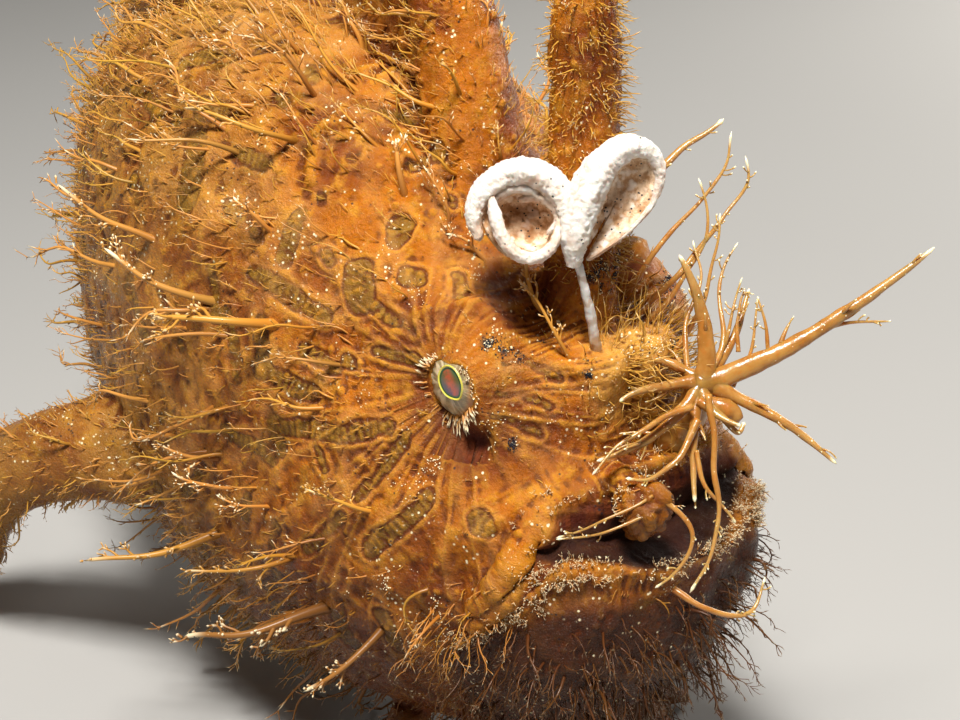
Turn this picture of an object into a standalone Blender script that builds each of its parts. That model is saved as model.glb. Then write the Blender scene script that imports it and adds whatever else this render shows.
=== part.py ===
"""Hairy frogfish (Antennarius striatus), life size, sitting on its paired fins.

Shapes are laid out in millimetres in the fish's own frame: +X towards the snout, +Y towards its left
side, +Z up, with the eyes at z = 0 and the middle line of the head at y = 0. The tail half is then bent
to the left, and the last step turns everything into metres with the origin on the floor under the
middle of the fish.
"""

import math

import bmesh
import bpy
import numpy as np
from mathutils import Vector

MM = 0.001
FLOOR = -40.0  # the floor's height in the fish's frame
GAP = 0.3  # between neighbouring solids
SIDES = {"right": -1, "left": 1}

# The body from snout to tail base: x, top, bottom, half width, height of the widest line
STATIONS = [
    (13.8, -11.4, -15.8, 2.2, -13.6),
    (13.0, -10.2, -20.0, 6.6, -14.0),
    (11.4, -8.4, -23.4, 9.2, -14.5),
    (9.4, -6.2, -26.0, 10.6, -14.5),
    (6.0, -2.2, -29.0, 12.0, -14.5),
    (0.0, 4.4, -32.4, 13.4, -13.5),
    (-8.0, 12.0, -34.8, 15.6, -12.5),
    (-20.0, 18.4, -36.6, 17.6, -11.5),
    (-33.0, 19.2, -35.8, 17.2, -10.0),
    (-46.0, 15.4, -30.5, 13.4, -8.0),
    (-58.0, 10.2, -20.5, 8.6, -5.0),
    (-68.0, 7.2, -11.0, 5.0, -2.0),
    (-76.0, 7.4, -8.6, 3.0, -0.5),
]
RINGS, RING_POINTS, RING_CROWDING = 30, 26, 1.35  # rings stand closer at the snout by this power
TOP_POWER, BOTTOM_POWER = 2.3, 2.2  # of the section's superellipse above and below its widest line

# Swellings and hollows of the skin: x, distance from the middle plane, z, reach, height
FEATURES = {
    "brow": (0.8, 7.4, 3.8, 3.4, 1.2),
    "eye_mound": (1.2, 8.6, 0.6, 4.4, 2.4),
    "snout_dome": (5.2, 1.6, -0.4, 3.2, 5.0),
    "lure_groove": (6.0, 0.0, -2.4, 2.0, -0.9),
    "cheek": (-6.0, 14.0, -15.0, 8.0, 1.4),
    "throat": (2.0, 0.0, -33.0, 6.0, -1.0),
}

BEND_START, BEND_RADIUS = -36.0, 80.0  # behind this x the body turns to the fish's left

EYE_CENTRE, EYE_RADIUS = (0.2, 7.8, -0.2), 3.2
EYE_FACING = (0.064, 0.996, -0.067)
LIDS_REACH, LIDS_RADII = (2.0, 7.5), (2.0, 3.1)  # the opening in front of the eye: how far out, radii
HEAD_END = ((-15.0, 0.0, -8.0), (1.0, 0.0, -0.12))  # point and normal of the plane behind the head
TRUNK_END = ((-61.0, 0.0, -2.0), (1.0, 0.0, 0.0))

# The gape arches over the lower jaw: height of its upper edge in the middle, drop to the corner, power
MOUTH_HALF, MOUTH_REACH = 12.6, 13.3  # to the corner, and to where both edges leave the skin
GAPE_TOP, GAPE_DROP, GAPE_POWER = -7.3, 10.6, 6.0
OPEN_HALF, OPEN_HEIGHT, SHUT_HEIGHT = 11.2, 3.5, 0.45  # the stretch that stands open, how far, and the rest
JAW_BACK, LIP_HALF = 2.2, 11.4
# A bump on the upper lip
LIP_KNOB = ((8.6, -3.0, -5.6), (10.6, -3.4, -6.5), (11.7, -3.6, -6.9), (12.8, -3.8, -7.3))
KNOB_RADII = (1.0, 1.25, 1.3, 0.6)

# The view that shows the lure and the snout tuft best, used to lay them out: degrees round and above
VIEW_AZIMUTH, VIEW_ELEVATION = 50.0, 25.0
VIEW_ORIGIN = Vector((0.3, -10.2, 0.0))  # the near eye's surface

# Fin rays: where they start and end along the fish, how they lean from the line that runs back, lengths
DORSAL_X, DORSAL_LEAN = (-27.0, -64.0), (62.0, 40.0)
DORSAL_LENGTHS = (13, 16, 18, 19.5, 20, 20, 20, 19.5, 18.5, 17, 14.5, 11.5)
ANAL_X, ANAL_LEAN = (-53.0, -66.0), (62.0, 38.0)
ANAL_LENGTHS = (11, 14, 16, 17, 16.5, 14.5, 11)
CAUDAL_X, CAUDAL_RAYS, CAUDAL_SPREAD, CAUDAL_LENGTH = -73.5, 9, 34.0, 27.0
FIN_THICK, RAY_ROOT_SINK = 1.1, 2.0

# Arms and feet of the right side, where y is measured outwards
ARM_PATH = ((-32.0, 11.5, -18.0), (-46.5, 24.5, -17.5), (-48.5, 23.5, -33.0))  # shoulder, elbow, wrist
ARM_RADII = (6.0, 5.4, 4.8, 4.4, 4.1, 3.8, 3.5, 3.0, 1.9)
# Hand and foot: ankle, heading and half spread of the rays, how many, how long, width at the root, thickness
HAND = ((-48.5, 23.5, -32.0), 128.0, 62.0, 10, 14.0, 5.0, 1.2)
SOLE = ((-7.5, 7.4, -31.5), 62.0, 52.0, 5, 12.5, 4.0, 1.5)

# Spines of the back behind the lure: path from root to tip, radii
SECOND_PATH = ((1.6, 0, -1.5), (2.0, 0, 14.0), (1.6, 0, 30.0))
SECOND_RADII = (3.2, 3.4, 3.3, 3.2, 3.1, 3.0, 2.6, 1.3)
THIRD_PATH = ((-9.0, 0, 9.0), (-11.5, 0, 26.0), (-22.0, 0, 34.0))
THIRD_RADII = (4.8, 1.6)
NAPE_WEB_X, NAPE_WEB_THICK = (-16, -19, -22, -25), 2.6

# The lure's rod: its foot and bend in the fish's own frame, its tip in the view, and the radii at its ends
ROD_FOOT, ROD_BEND, ROD_TIP, ROD_RADII = (5.4, -1.5, -4.6), (6.6, -1.9, 1.0), (8.4, 7.2, 3.3), (0.45, 0.32)
# The lobes' middle lines in the view: the right one arches over and turns back up inside as a tongue
ARCH = (
    (7.4, 8.2, 3.7), (7.2, 9.8, 4.1), (7.0, 11.4, 4.2), (6.2, 12.8, 4.3), (4.9, 13.4, 4.3),
    (3.1, 13.1, 4.2), (1.9, 12.1, 4.1), (1.5, 10.6, 3.9), (1.9, 9.2, 3.6),
)
ARCH_RADII = (0.40, 0.65, 0.85, 1.00, 1.05, 1.00, 0.85, 0.60, 0.35)
TONGUE = (
    (2.6, 12.0, 4.4), (2.9, 10.7, 4.9), (3.4, 9.3, 4.9), (4.3, 8.3, 4.7), (5.4, 8.2, 4.5),
    (6.3, 9.0, 4.5), (6.5, 10.4, 4.2),
)
TONGUE_RADII = (0.40, 0.44, 0.46, 0.44, 0.42, 0.38, 0.34)
LOOP = (
    (8.7, 8.2, 4.2), (8.7, 9.6, 4.7), (9.0, 11.9, 5.0), (9.9, 14.1, 5.1), (11.5, 15.2, 4.8),
    (12.9, 14.9, 4.2), (13.6, 13.6, 3.6), (13.2, 11.9, 3.2), (12.0, 10.3, 3.1), (10.6, 9.2, 3.2),
)
LOOP_RADII = (0.45, 0.75, 1.05, 1.20, 1.00, 0.72, 0.45, 0.36, 0.36, 0.36)

# Skin filaments: where along the fish they start and end, how many, how long
FILAMENTS = ((12.5, -14.0, 36, 5.5), (-14.0, -60.0, 52, 7.0), (-60.0, -74.0, 11, 5.0))
FILAMENT_RADII = (0.8, 0.58, 0.36)
GOLDEN_ANGLE = 137.508

SKIN = ("skin", (0.62, 0.27, 0.07), 0.55)
PALE = ("lure", (0.93, 0.78, 0.68), 0.6)
CLEAR_TAN = ("filament", (0.70, 0.42, 0.18), 0.4)
EYE = ("eye", (0.10, 0.09, 0.05), 0.08)


def view_axes():
    a, e = math.radians(VIEW_AZIMUTH), math.radians(VIEW_ELEVATION)
    right = Vector((math.cos(a), math.sin(a), 0))
    toward = Vector((math.sin(a) * math.cos(e), -math.cos(a) * math.cos(e), math.sin(e)))
    return right, toward.cross(right), toward


def from_view(right, up, toward):
    """A point measured from the near eye along the view's own axes."""
    across, upward, nearer = view_axes()
    return VIEW_ORIGIN + across * right + upward * up + nearer * toward


def clear_scene():
    for obj in list(bpy.data.objects):
        bpy.data.objects.remove(obj)


def collection(name):
    made = bpy.data.collections.new(name)
    bpy.context.scene.collection.children.link(made)
    return made


def material(name, colour, roughness):
    found = bpy.data.materials.get(name)
    if found:
        return found
    made = bpy.data.materials.new(name)
    made.use_nodes = True
    shader = made.node_tree.nodes["Principled BSDF"]
    shader.inputs["Base Color"].default_value = (*colour, 1.0)
    shader.inputs["Roughness"].default_value = roughness
    shader.inputs["Metallic"].default_value = 0.0
    return made


def object_of(mesh, name, finish=None):
    obj = bpy.data.objects.new(name, mesh)
    PARTS.objects.link(obj)
    if finish:
        mesh.materials.clear()
        mesh.materials.append(material(*finish))
    return obj


def mesh_of(bm, name):
    bmesh.ops.recalc_face_normals(bm, faces=bm.faces)
    mesh = bpy.data.meshes.new(name)
    bm.to_mesh(mesh)
    bm.free()
    return mesh


def applied(obj):
    """Makes the object's modifiers part of its mesh."""
    graph = bpy.context.evaluated_depsgraph_get()
    mesh = bpy.data.meshes.new_from_object(obj.evaluated_get(graph))
    obj.modifiers.clear()
    obj.data = mesh
    return obj


def copy_of(obj, name):
    made = bpy.data.objects.new(name, obj.data.copy())
    PARTS.objects.link(made)
    return made


def volume(obj):
    bm = bmesh.new()
    bm.from_mesh(obj.data)
    found = bm.calc_volume()
    bm.free()
    return found


def sound(obj):
    """Whether each edge joins two faces, once points that nearly touch are one."""
    bm = bmesh.new()
    bm.from_mesh(obj.data)
    bmesh.ops.remove_doubles(bm, verts=bm.verts, dist=0.003)
    found = all(len(edge.link_faces) == 2 for edge in bm.edges)
    bm.free()
    return found


def combine(obj, other, operation):
    """A Boolean on obj that removes the other object; one that goes wrong is made again by other means."""
    before, least = obj.data.copy(), volume(obj)
    for solver in ("EXACT", "MANIFOLD"):
        obj.data = before.copy()
        modifier = obj.modifiers.new(operation.lower(), "BOOLEAN")
        modifier.operation = operation
        modifier.object = other
        modifier.solver = solver
        applied(obj)
        if sound(obj) and (operation != "UNION" or volume(obj) > least):
            break
    bpy.data.objects.remove(other)
    return obj


def inflated(obj, by):
    """A copy whose surface lies this far outside the original's, as a cutter."""
    made = copy_of(obj, obj.name + "_cutter")
    bm = bmesh.new()
    bm.from_mesh(made.data)
    bmesh.ops.remove_doubles(bm, verts=bm.verts, dist=0.01)
    bm.normal_update()
    moves = [vert.normal * by * min(vert.calc_shell_factor(), 2.0) for vert in bm.verts]
    for vert, move in zip(bm.verts, moves):
        vert.co += move
    bm.to_mesh(made.data)
    bm.free()
    return made


def fit_beside(obj, *neighbours):
    """Trims obj so that it ends just off each neighbour's surface."""
    for neighbour in neighbours:
        combine(obj, inflated(neighbour, GAP), "DIFFERENCE")
    return obj


def largest_body(obj):
    """Leaves the largest of the object's loose pieces."""
    bm = bmesh.new()
    bm.from_mesh(obj.data)
    left, islands = set(bm.verts), []
    while left:
        island, edge = set(), {left.pop()}
        while edge:
            island |= edge
            edge = {e.other_vert(v) for v in edge for e in v.link_edges} - island
        left -= island
        islands.append(island)
    keep = max(islands, key=len)
    bmesh.ops.delete(bm, geom=[v for v in bm.verts if v not in keep], context="VERTS")
    bm.to_mesh(obj.data)
    bm.free()
    return obj


def smooth_values(x):
    """The body's four sizes at x, read from a smooth curve through the stations."""
    table = np.array(STATIONS[::-1])
    at, values = table[:, 0], table[:, 1:]
    slopes = np.gradient(values, at, axis=0)
    i = int(np.clip(np.searchsorted(at, x) - 1, 0, len(at) - 2))
    span = at[i + 1] - at[i]
    t = (x - at[i]) / span
    return (
        (2 * t**3 - 3 * t**2 + 1) * values[i]
        + (t**3 - 2 * t**2 + t) * span * slopes[i]
        + (3 * t**2 - 2 * t**3) * values[i + 1]
        + (t**3 - t**2) * span * slopes[i + 1]
    )


def skin_point(x, angle):
    """A point of the body's section at x; the angle is 0 at the back and grows towards the left side."""
    top, bottom, half, middle = smooth_values(x)
    up, out = math.cos(angle), math.sin(angle)
    power, height = (TOP_POWER, top - middle) if up > 0 else (BOTTOM_POWER, middle - bottom)
    return Vector((
        x,
        half * math.copysign(abs(out) ** (2 / power), out),
        middle + height * math.copysign(abs(up) ** (2 / power), up),
    ))


def loft(name, rings):
    bm = bmesh.new()
    rows = [[bm.verts.new(point) for point in ring] for ring in rings]
    count = len(rows[0])
    for row, following in zip(rows, rows[1:]):
        for i in range(count):
            j = (i + 1) % count
            bm.faces.new((row[i], row[j], following[j], following[i]))
    bm.faces.new(rows[0][::-1])
    bm.faces.new(rows[-1])
    return object_of(mesh_of(bm, name), name)


def shape_features(obj):
    """Raises and lowers the skin at the named features, on both sides."""
    bm = bmesh.new()
    bm.from_mesh(obj.data)
    bm.normal_update()
    moves = []
    for vert in bm.verts:
        move = 0.0
        for x, off, z, reach, height in FEATURES.values():
            away = Vector((vert.co.x - x, abs(vert.co.y) - off, vert.co.z - z)).length
            move += height * math.exp(-((away / reach) ** 2))
        moves.append(vert.normal * move)
    for vert, move in zip(bm.verts, moves):
        vert.co += move
    bm.to_mesh(obj.data)
    bm.free()


def body():
    first, last = STATIONS[0][0], STATIONS[-1][0]
    steps = [(i / (RINGS - 1)) ** RING_CROWDING for i in range(RINGS)]
    turns = [2 * math.pi * i / RING_POINTS for i in range(RING_POINTS)]
    rings = [[skin_point(first + (last - first) * s, a) for a in turns] for s in steps]
    obj = loft("body", rings)
    shape_features(obj)
    return obj


def half_space(point, normal):
    """A large block on the side of the plane that its normal points to."""
    size = 300.0
    bm = bmesh.new()
    bmesh.ops.create_cube(bm, size=size)
    turn = Vector((1, 0, 0)).rotation_difference(Vector(normal)).to_matrix().to_4x4()
    bmesh.ops.transform(bm, matrix=turn, verts=bm.verts)
    middle = Vector(point) + Vector(normal).normalized() * size / 2
    bmesh.ops.translate(bm, vec=middle, verts=bm.verts)
    return object_of(mesh_of(bm, "half_space"), "half_space")


def cut_plane(obj, plane, side, gap=0.0):
    """Removes what lies on one side of a plane: side 1 is where its normal points."""
    point, normal = Vector(plane[0]), Vector(plane[1]).normalized() * side
    return combine(obj, half_space(point - normal * gap, normal), "DIFFERENCE")


def upper_edge(y):
    """Height of the mouth's upper edge at this distance from the middle."""
    return GAPE_TOP - GAPE_DROP * (abs(y) / MOUTH_HALF) ** GAPE_POWER


def lower_edge(y):
    return upper_edge(y) - SHUT_HEIGHT - OPEN_HEIGHT * max(0.0, 1 - (y / OPEN_HALF) ** 2)


def jaw_block(edge, back):
    """The space of the lower jaw: arched above, open below, with its back wall at the given x."""
    across = [MOUTH_REACH * (i / 13 - 1) for i in range(27)]
    low = edge(MOUTH_REACH)
    outline = [(-30.0, low)] + [(y, edge(y)) for y in across] + [(30.0, low), (30.0, -60.0), (-30.0, -60.0)]
    rings = [[Vector((x, y, z)) for y, z in outline] for x in (back, 30.0)]
    return loft("jaw_block", rings)


def front_of_skin(y, z):
    """The x where the snout's skin meets this height and side distance."""
    for x in np.arange(STATIONS[0][0], -20.0, -0.05):
        top, bottom, half, middle = smooth_values(x)
        power, height = (TOP_POWER, top - middle) if z > middle else (BOTTOM_POWER, middle - bottom)
        if (abs(y) / half) ** power + (abs(z - middle) / height) ** power < 1:
            return float(x)
    return -20.0


def even_points(line, count):
    """The same line with its points evenly spaced."""
    line = np.array(line)
    run = np.concatenate([[0], np.cumsum(np.linalg.norm(np.diff(line, axis=0), axis=1))])
    at = np.linspace(0, run[-1], count)
    return [Vector(point) for point in np.stack([np.interp(at, run, line[:, k]) for k in range(3)], axis=1)]


def lip(edge, offset, radius):
    """A rounded lip along one edge of the mouth, thinning to its corners."""
    line = []
    for y in np.linspace(-LIP_HALF, LIP_HALF, 61):
        z = edge(y) + offset
        line.append((front_of_skin(y, z) - radius * 0.4, y, z))
    path = even_points(line, 13)
    sizes = [radius * (0.6 + 0.4 * math.sin(math.pi * i / 12) ** 0.5) for i in range(13)]
    return tube("lip", path, sizes, 6)


def ball(name, centre, radius, segments=16, rings=9):
    bm = bmesh.new()
    bmesh.ops.create_uvsphere(bm, u_segments=segments, v_segments=rings, radius=radius)
    bmesh.ops.translate(bm, vec=Vector(centre), verts=bm.verts)
    return object_of(mesh_of(bm, name), name)


def tube(name, points, radii, sides=8):
    """A round bar along the points, with its own radius at each, rounded by a curve's bevel."""
    curve = bpy.data.curves.new(name, "CURVE")
    curve.dimensions = "3D"
    curve.bevel_depth = 1.0
    curve.bevel_resolution = sides // 2 - 2
    curve.use_fill_caps = True
    spline = curve.splines.new("POLY")
    spline.points.add(len(points) - 1)
    for knot, point, radius in zip(spline.points, points, radii):
        knot.co = (*point, 1.0)
        knot.radius = radius
    holder = bpy.data.objects.new(name + "_curve", curve)
    PARTS.objects.link(holder)
    graph = bpy.context.evaluated_depsgraph_get()
    bm = bmesh.new()
    bm.from_mesh(bpy.data.meshes.new_from_object(holder.evaluated_get(graph)))
    bmesh.ops.remove_doubles(bm, verts=bm.verts, dist=0.001)
    bpy.data.objects.remove(holder)
    return object_of(mesh_of(bm, name), name)


def arc(start, handle, end, steps):
    """Points of a quadratic curve."""
    start, handle, end = Vector(start), Vector(handle), Vector(end)
    made = []
    for i in range(steps + 1):
        t = i / steps
        made.append(start * (1 - t) ** 2 + handle * 2 * t * (1 - t) + end * t**2)
    return made


def taper(first, last, count, power=1.0):
    return [first + (last - first) * (i / (count - 1)) ** power for i in range(count)]


def fin_sheet(name, rays, scallop, thick, steps=5, webs=2):
    """A fin of curved rays, each (root, handle, tip), with a web between that stops short of their tips."""
    columns = []
    for i in range((len(rays) - 1) * webs + 1):
        ray, share = divmod(i, webs)
        share /= webs
        following = rays[min(ray + 1, len(rays) - 1)]
        ends = [Vector(a).lerp(Vector(b), share) for a, b in zip(rays[ray], following)]
        reach = 1 - scallop * math.sin(math.pi * share)
        line = arc(*ends, 24)
        columns.append([line[round(24 * reach * k / steps)] for k in range(steps + 1)])
    bm = bmesh.new()
    rows = [[bm.verts.new(point) for point in column] for column in columns]
    for row, following in zip(rows, rows[1:]):
        for k in range(steps):
            bm.faces.new((row[k], row[k + 1], following[k + 1], following[k]))
    obj = object_of(mesh_of(bm, name), name)
    shell = obj.modifiers.new("thickness", "SOLIDIFY")
    shell.thickness = thick
    shell.offset = 0.0
    shell.use_even_offset = True
    return applied(obj)


def root_on_back(x):
    return Vector((x, 0.0, smooth_values(x)[0] - RAY_ROOT_SINK))


def evenly(values):
    """Each value with its share of the way from the first to the last."""
    return [(i / (len(values) - 1), value) for i, value in enumerate(values)]


def between(ends, share):
    return ends[0] + (ends[1] - ends[0]) * share


def soft_dorsal():
    rays = []
    for share, length in evenly(DORSAL_LENGTHS):
        root = root_on_back(between(DORSAL_X, share))
        lean = math.radians(between(DORSAL_LEAN, share))
        tip = root + Vector((-math.cos(lean), 0, math.sin(lean))) * length
        rays.append((root, root.lerp(tip, 0.5) + Vector((1.2, 0, 0.6)), tip))
    return fin_sheet("dorsal_fin", rays, 0.12, FIN_THICK, steps=4)


def anal_fin():
    rays = []
    for share, length in evenly(ANAL_LENGTHS):
        x = between(ANAL_X, share)
        root = Vector((x, 0, smooth_values(x)[1] + RAY_ROOT_SINK))
        lean = math.radians(between(ANAL_LEAN, share))
        tip = root + Vector((-math.cos(lean), 0, -math.sin(lean))) * length
        rays.append((root, root.lerp(tip, 0.5) + Vector((1.0, 0, -0.8)), tip))
    return fin_sheet("anal_fin", rays, 0.12, FIN_THICK, steps=4)


def caudal_fin():
    rays = []
    for share in np.linspace(-1, 1, CAUDAL_RAYS):
        root = Vector((CAUDAL_X, 0, -0.8 + 6.2 * share))
        angle = math.radians(CAUDAL_SPREAD) * share
        tip = root + Vector((-math.cos(angle), 0, math.sin(angle))) * (CAUDAL_LENGTH - 4 * share**2)
        rays.append((root, root.lerp(tip, 0.5) + Vector((0, 0, 1.5 * share)), tip))
    return fin_sheet("caudal_fin", rays, 0.09, FIN_THICK, steps=5)


def foot(name, sign, ankle, heading, spread, count, length, width, thick):
    """A fan of rays from a limb's end down to the floor; angles are in plan, from the snout outwards."""
    ankle = Vector((ankle[0], ankle[1] * sign, ankle[2]))
    rays = []
    for share in np.linspace(-1, 1, count):
        turn = math.radians(heading + spread * share)
        way = Vector((math.cos(turn), sign * math.sin(turn), 0))
        root = ankle + way * width * 0.5
        tip = ankle + way * length * (1 - 0.18 * abs(share))
        tip.z = FLOOR + thick * 0.3
        handle = root.lerp(tip, 0.5)
        handle.z = FLOOR + thick * 0.6
        rays.append((root, handle, tip))
    return fin_sheet(name, rays, 0.16, thick, steps=3)


def pectoral(side, sign):
    """The jointed arm, elbow held out and back, with its hand flat on the floor."""
    path = [Vector((p.x, p.y * sign, p.z)) for p in arc(*ARM_PATH, len(ARM_RADII) - 1)]
    arm = tube("pectoral_arm_" + side, path, ARM_RADII, 10)
    return arm, foot("pectoral_fin_" + side, sign, *HAND)


def pelvic(side, sign):
    return foot("pelvic_fin_" + side, sign, *SOLE)


def second_spine():
    return tube("dorsal_spine_2", arc(*SECOND_PATH, len(SECOND_RADII) - 1), SECOND_RADII, 10)


def third_spine():
    """The third spine, which a sheet of skin joins to the nape behind it."""
    path = arc(*THIRD_PATH, 7)
    spine = tube("dorsal_spine_3", path, taper(*THIRD_RADII, len(path)), 10)
    along = arc(path[1], path[3], path[-1], 3)
    rays = [(p, p.lerp(root_on_back(x), 0.5), root_on_back(x)) for p, x in zip(along, NAPE_WEB_X)]
    web = fin_sheet("web", rays, 0.0, NAPE_WEB_THICK, steps=4)
    return combine(spine, web, "UNION")


def lure():
    """The rod and the two worm-like lobes at its tip, which curl as seen from the right front."""
    rod = tube("illicium", arc(ROD_FOOT, ROD_BEND, from_view(*ROD_TIP), 6), taper(*ROD_RADII, 7), 8)
    right = tube("esca_right", [from_view(*p) for p in ARCH], ARCH_RADII, 8)
    combine(right, tube("tongue", [from_view(*p) for p in TONGUE], TONGUE_RADII, 6), "UNION")
    left = tube("esca_left", [from_view(*p) for p in LOOP], LOOP_RADII, 8)
    return rod, right, left


# Branches of the snout tuft: direction in the view (degrees from right, turning up), how far it leans
# towards the viewer, length, width at its root, bend towards the upper side
TUFT_BRANCHES = (
    (101, 0.10, 9.2, 1.50, 1.6),
    (61, -0.30, 8.0, 0.95, 0.8),
    (31, 0.05, 18.4, 1.60, 1.9),
    (-31, 0.15, 10.6, 1.10, -1.0),
    (-52, 0.60, 4.4, 1.05, 1.4),
    (-96, 0.30, 8.6, 0.95, 0.8),
    (-144, 0.30, 9.6, 1.05, -1.4),
    (-168, 0.25, 6.4, 1.00, 0.9),
    (160, -0.10, 6.4, 0.90, 0.9),
)
TUFT_CENTRE = (16.9, -0.1, -0.9)
TUFT_STALK, STALK_RADII = ((7.4, 3.0, -6.6), (9.4, 3.8, -3.2)), (1.6, 1.3, 1.15, 1.15, 1.0)


def snout_tuft():
    """A star of smooth tapering feelers on a short stalk beside the rod's foot."""
    centre = from_view(*TUFT_CENTRE)
    tuft = tube("snout_tuft", arc(*TUFT_STALK, centre, len(STALK_RADII) - 1), STALK_RADII, 8)
    across, upward, nearer = view_axes()
    for degrees, lean, length, width, bend in TUFT_BRANCHES:
        a = math.radians(degrees)
        way = (across * math.cos(a) + upward * math.sin(a) + nearer * lean).normalized()
        side = across * -math.sin(a) + upward * math.cos(a)
        start = centre - way * 0.4
        path = arc(start, start + way * length * 0.5 - side * bend, start + way * length, 4)
        branch = tube("branch", path, taper(width / 2, 0.26, len(path), 0.9), 6)
        combine(tuft, branch, "UNION")
    return tuft


def ahead_of(plane, point):
    return (point - Vector(plane[0])).dot(Vector(plane[1]).normalized())


def piece_at(point, head, jaw, trunk, tail):
    """The piece of flesh that carries this point of the skin, or None near a cut or the mouth."""
    if abs(ahead_of(HEAD_END, point)) < 3.2 or abs(ahead_of(TRUNK_END, point)) < 2.0:
        return None
    if ahead_of(TRUNK_END, point) < 0:
        return tail
    if ahead_of(HEAD_END, point) < 0:
        return trunk
    if point.x < JAW_BACK - 2.2 or point.z > upper_edge(point.y) + 2.2:
        return head
    if point.x > JAW_BACK + 2.2 and point.z < lower_edge(point.y) - 2.2:
        return jaw
    return None


def kept_clear():
    """Balls where no filament grows, each (centre, radius): limbs, eyes, and the roots of the fins."""
    limbs = [((-37.0, 15.0 * sign, -19.0), 9.0) for sign in SIDES.values()]
    limbs += [((-7.5, 8.0 * sign, -33.0), 7.0) for sign in SIDES.values()]
    eyes = [((0.3, 9.0 * sign, 0.0), 5.0) for sign in SIDES.values()]
    crest = [((x, 0, smooth_values(x)[0] + 1), 3.5) for x in range(-68, 12, 3)]
    keel = [((x, 0, smooth_values(x)[1] - 1), 3.5) for x in range(-72, -50, 3)]
    return limbs + eyes + crest + keel


def filaments(pieces, first_x, last_x, count, length, blocked):
    """Long skin filaments joined to the pieces of flesh, spread over the body by the golden angle."""
    for k in range(count):
        x = between((first_x, last_x), (k + 0.5) / count)
        root = skin_point(x, math.radians((k * GOLDEN_ANGLE + 40) % 360))
        piece = piece_at(root, *pieces)
        middle = Vector((x + 4.0, 0, smooth_values(x)[3]))
        out = (root - middle).normalized()
        way = (out * 0.85 + Vector((-0.62, 0, -0.05))).normalized()
        size = length * (0.75 + 0.5 * ((k * 0.618) % 1))
        tip = root + way * size + Vector((-1.2, 0, -0.8))
        path = arc(root - out * 1.2, root + way * size * 0.55, tip, len(FILAMENT_RADII) - 1)
        near = [(p - Vector(centre)).length < radius for p in path for centre, radius in blocked]
        if piece and tip.z > FLOOR + 3 and not any(near):
            combine(piece, tube("filament", path, FILAMENT_RADII, 4), "UNION")


def bend_point(co):
    """Turns what lies behind BEND_START to the left, round a vertical axis."""
    if co.x >= BEND_START:
        return co
    angle = (BEND_START - co.x) / BEND_RADIUS
    reach = BEND_RADIUS - co.y
    return Vector((
        BEND_START - reach * math.sin(angle),
        BEND_RADIUS - reach * math.cos(angle),
        co.z,
    ))


def place(nodes):
    """Bends the tail, then moves the fish so that the origin is on the floor under the middle of its box."""
    low, high = Vector((1e9,) * 3), Vector((-1e9,) * 3)
    for obj in nodes:
        for vert in obj.data.vertices:
            vert.co = bend_point(vert.co)
            low = Vector(map(min, low, vert.co))
            high = Vector(map(max, high, vert.co))
    middle = (low + high) / 2
    for obj in nodes:
        for vert in obj.data.vertices:
            vert.co = (vert.co - Vector((middle.x, middle.y, FLOOR))) * MM


def finish(obj, look):
    """Gives a node its material, smooth shading and a closed mesh without slivers."""
    bm = bmesh.new()
    bm.from_mesh(obj.data)
    bmesh.ops.triangulate(bm, faces=bm.faces)
    bmesh.ops.remove_doubles(bm, verts=bm.verts, dist=0.002 * MM)
    bm.to_mesh(obj.data)
    bm.free()
    obj.data.materials.clear()
    obj.data.materials.append(material(*look))
    obj.data.shade_smooth()
    obj.data.set_sharp_from_angle(angle=math.radians(50))


def flesh():
    """The head, lower jaw, trunk and tail stalk, parted by thin cuts, without their filaments."""
    whole = body()
    jaw = combine(copy_of(whole, "lower_jaw"), jaw_block(lower_edge, JAW_BACK), "INTERSECT")
    combine(jaw, lip(lower_edge, -0.9, 0.95), "UNION")
    head = combine(copy_of(whole, "head"), jaw_block(upper_edge, JAW_BACK - GAP), "DIFFERENCE")
    combine(head, lip(upper_edge, 0.8, 0.65), "UNION")
    combine(head, tube("knob", LIP_KNOB, KNOB_RADII, 8), "UNION")
    cut_plane(head, HEAD_END, -1)
    trunk = cut_plane(copy_of(whole, "trunk"), HEAD_END, 1, GAP)
    cut_plane(trunk, TRUNK_END, -1)
    tail = cut_plane(copy_of(whole, "tail_stalk"), TRUNK_END, 1, GAP)
    return whole, head, jaw, trunk, tail


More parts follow.
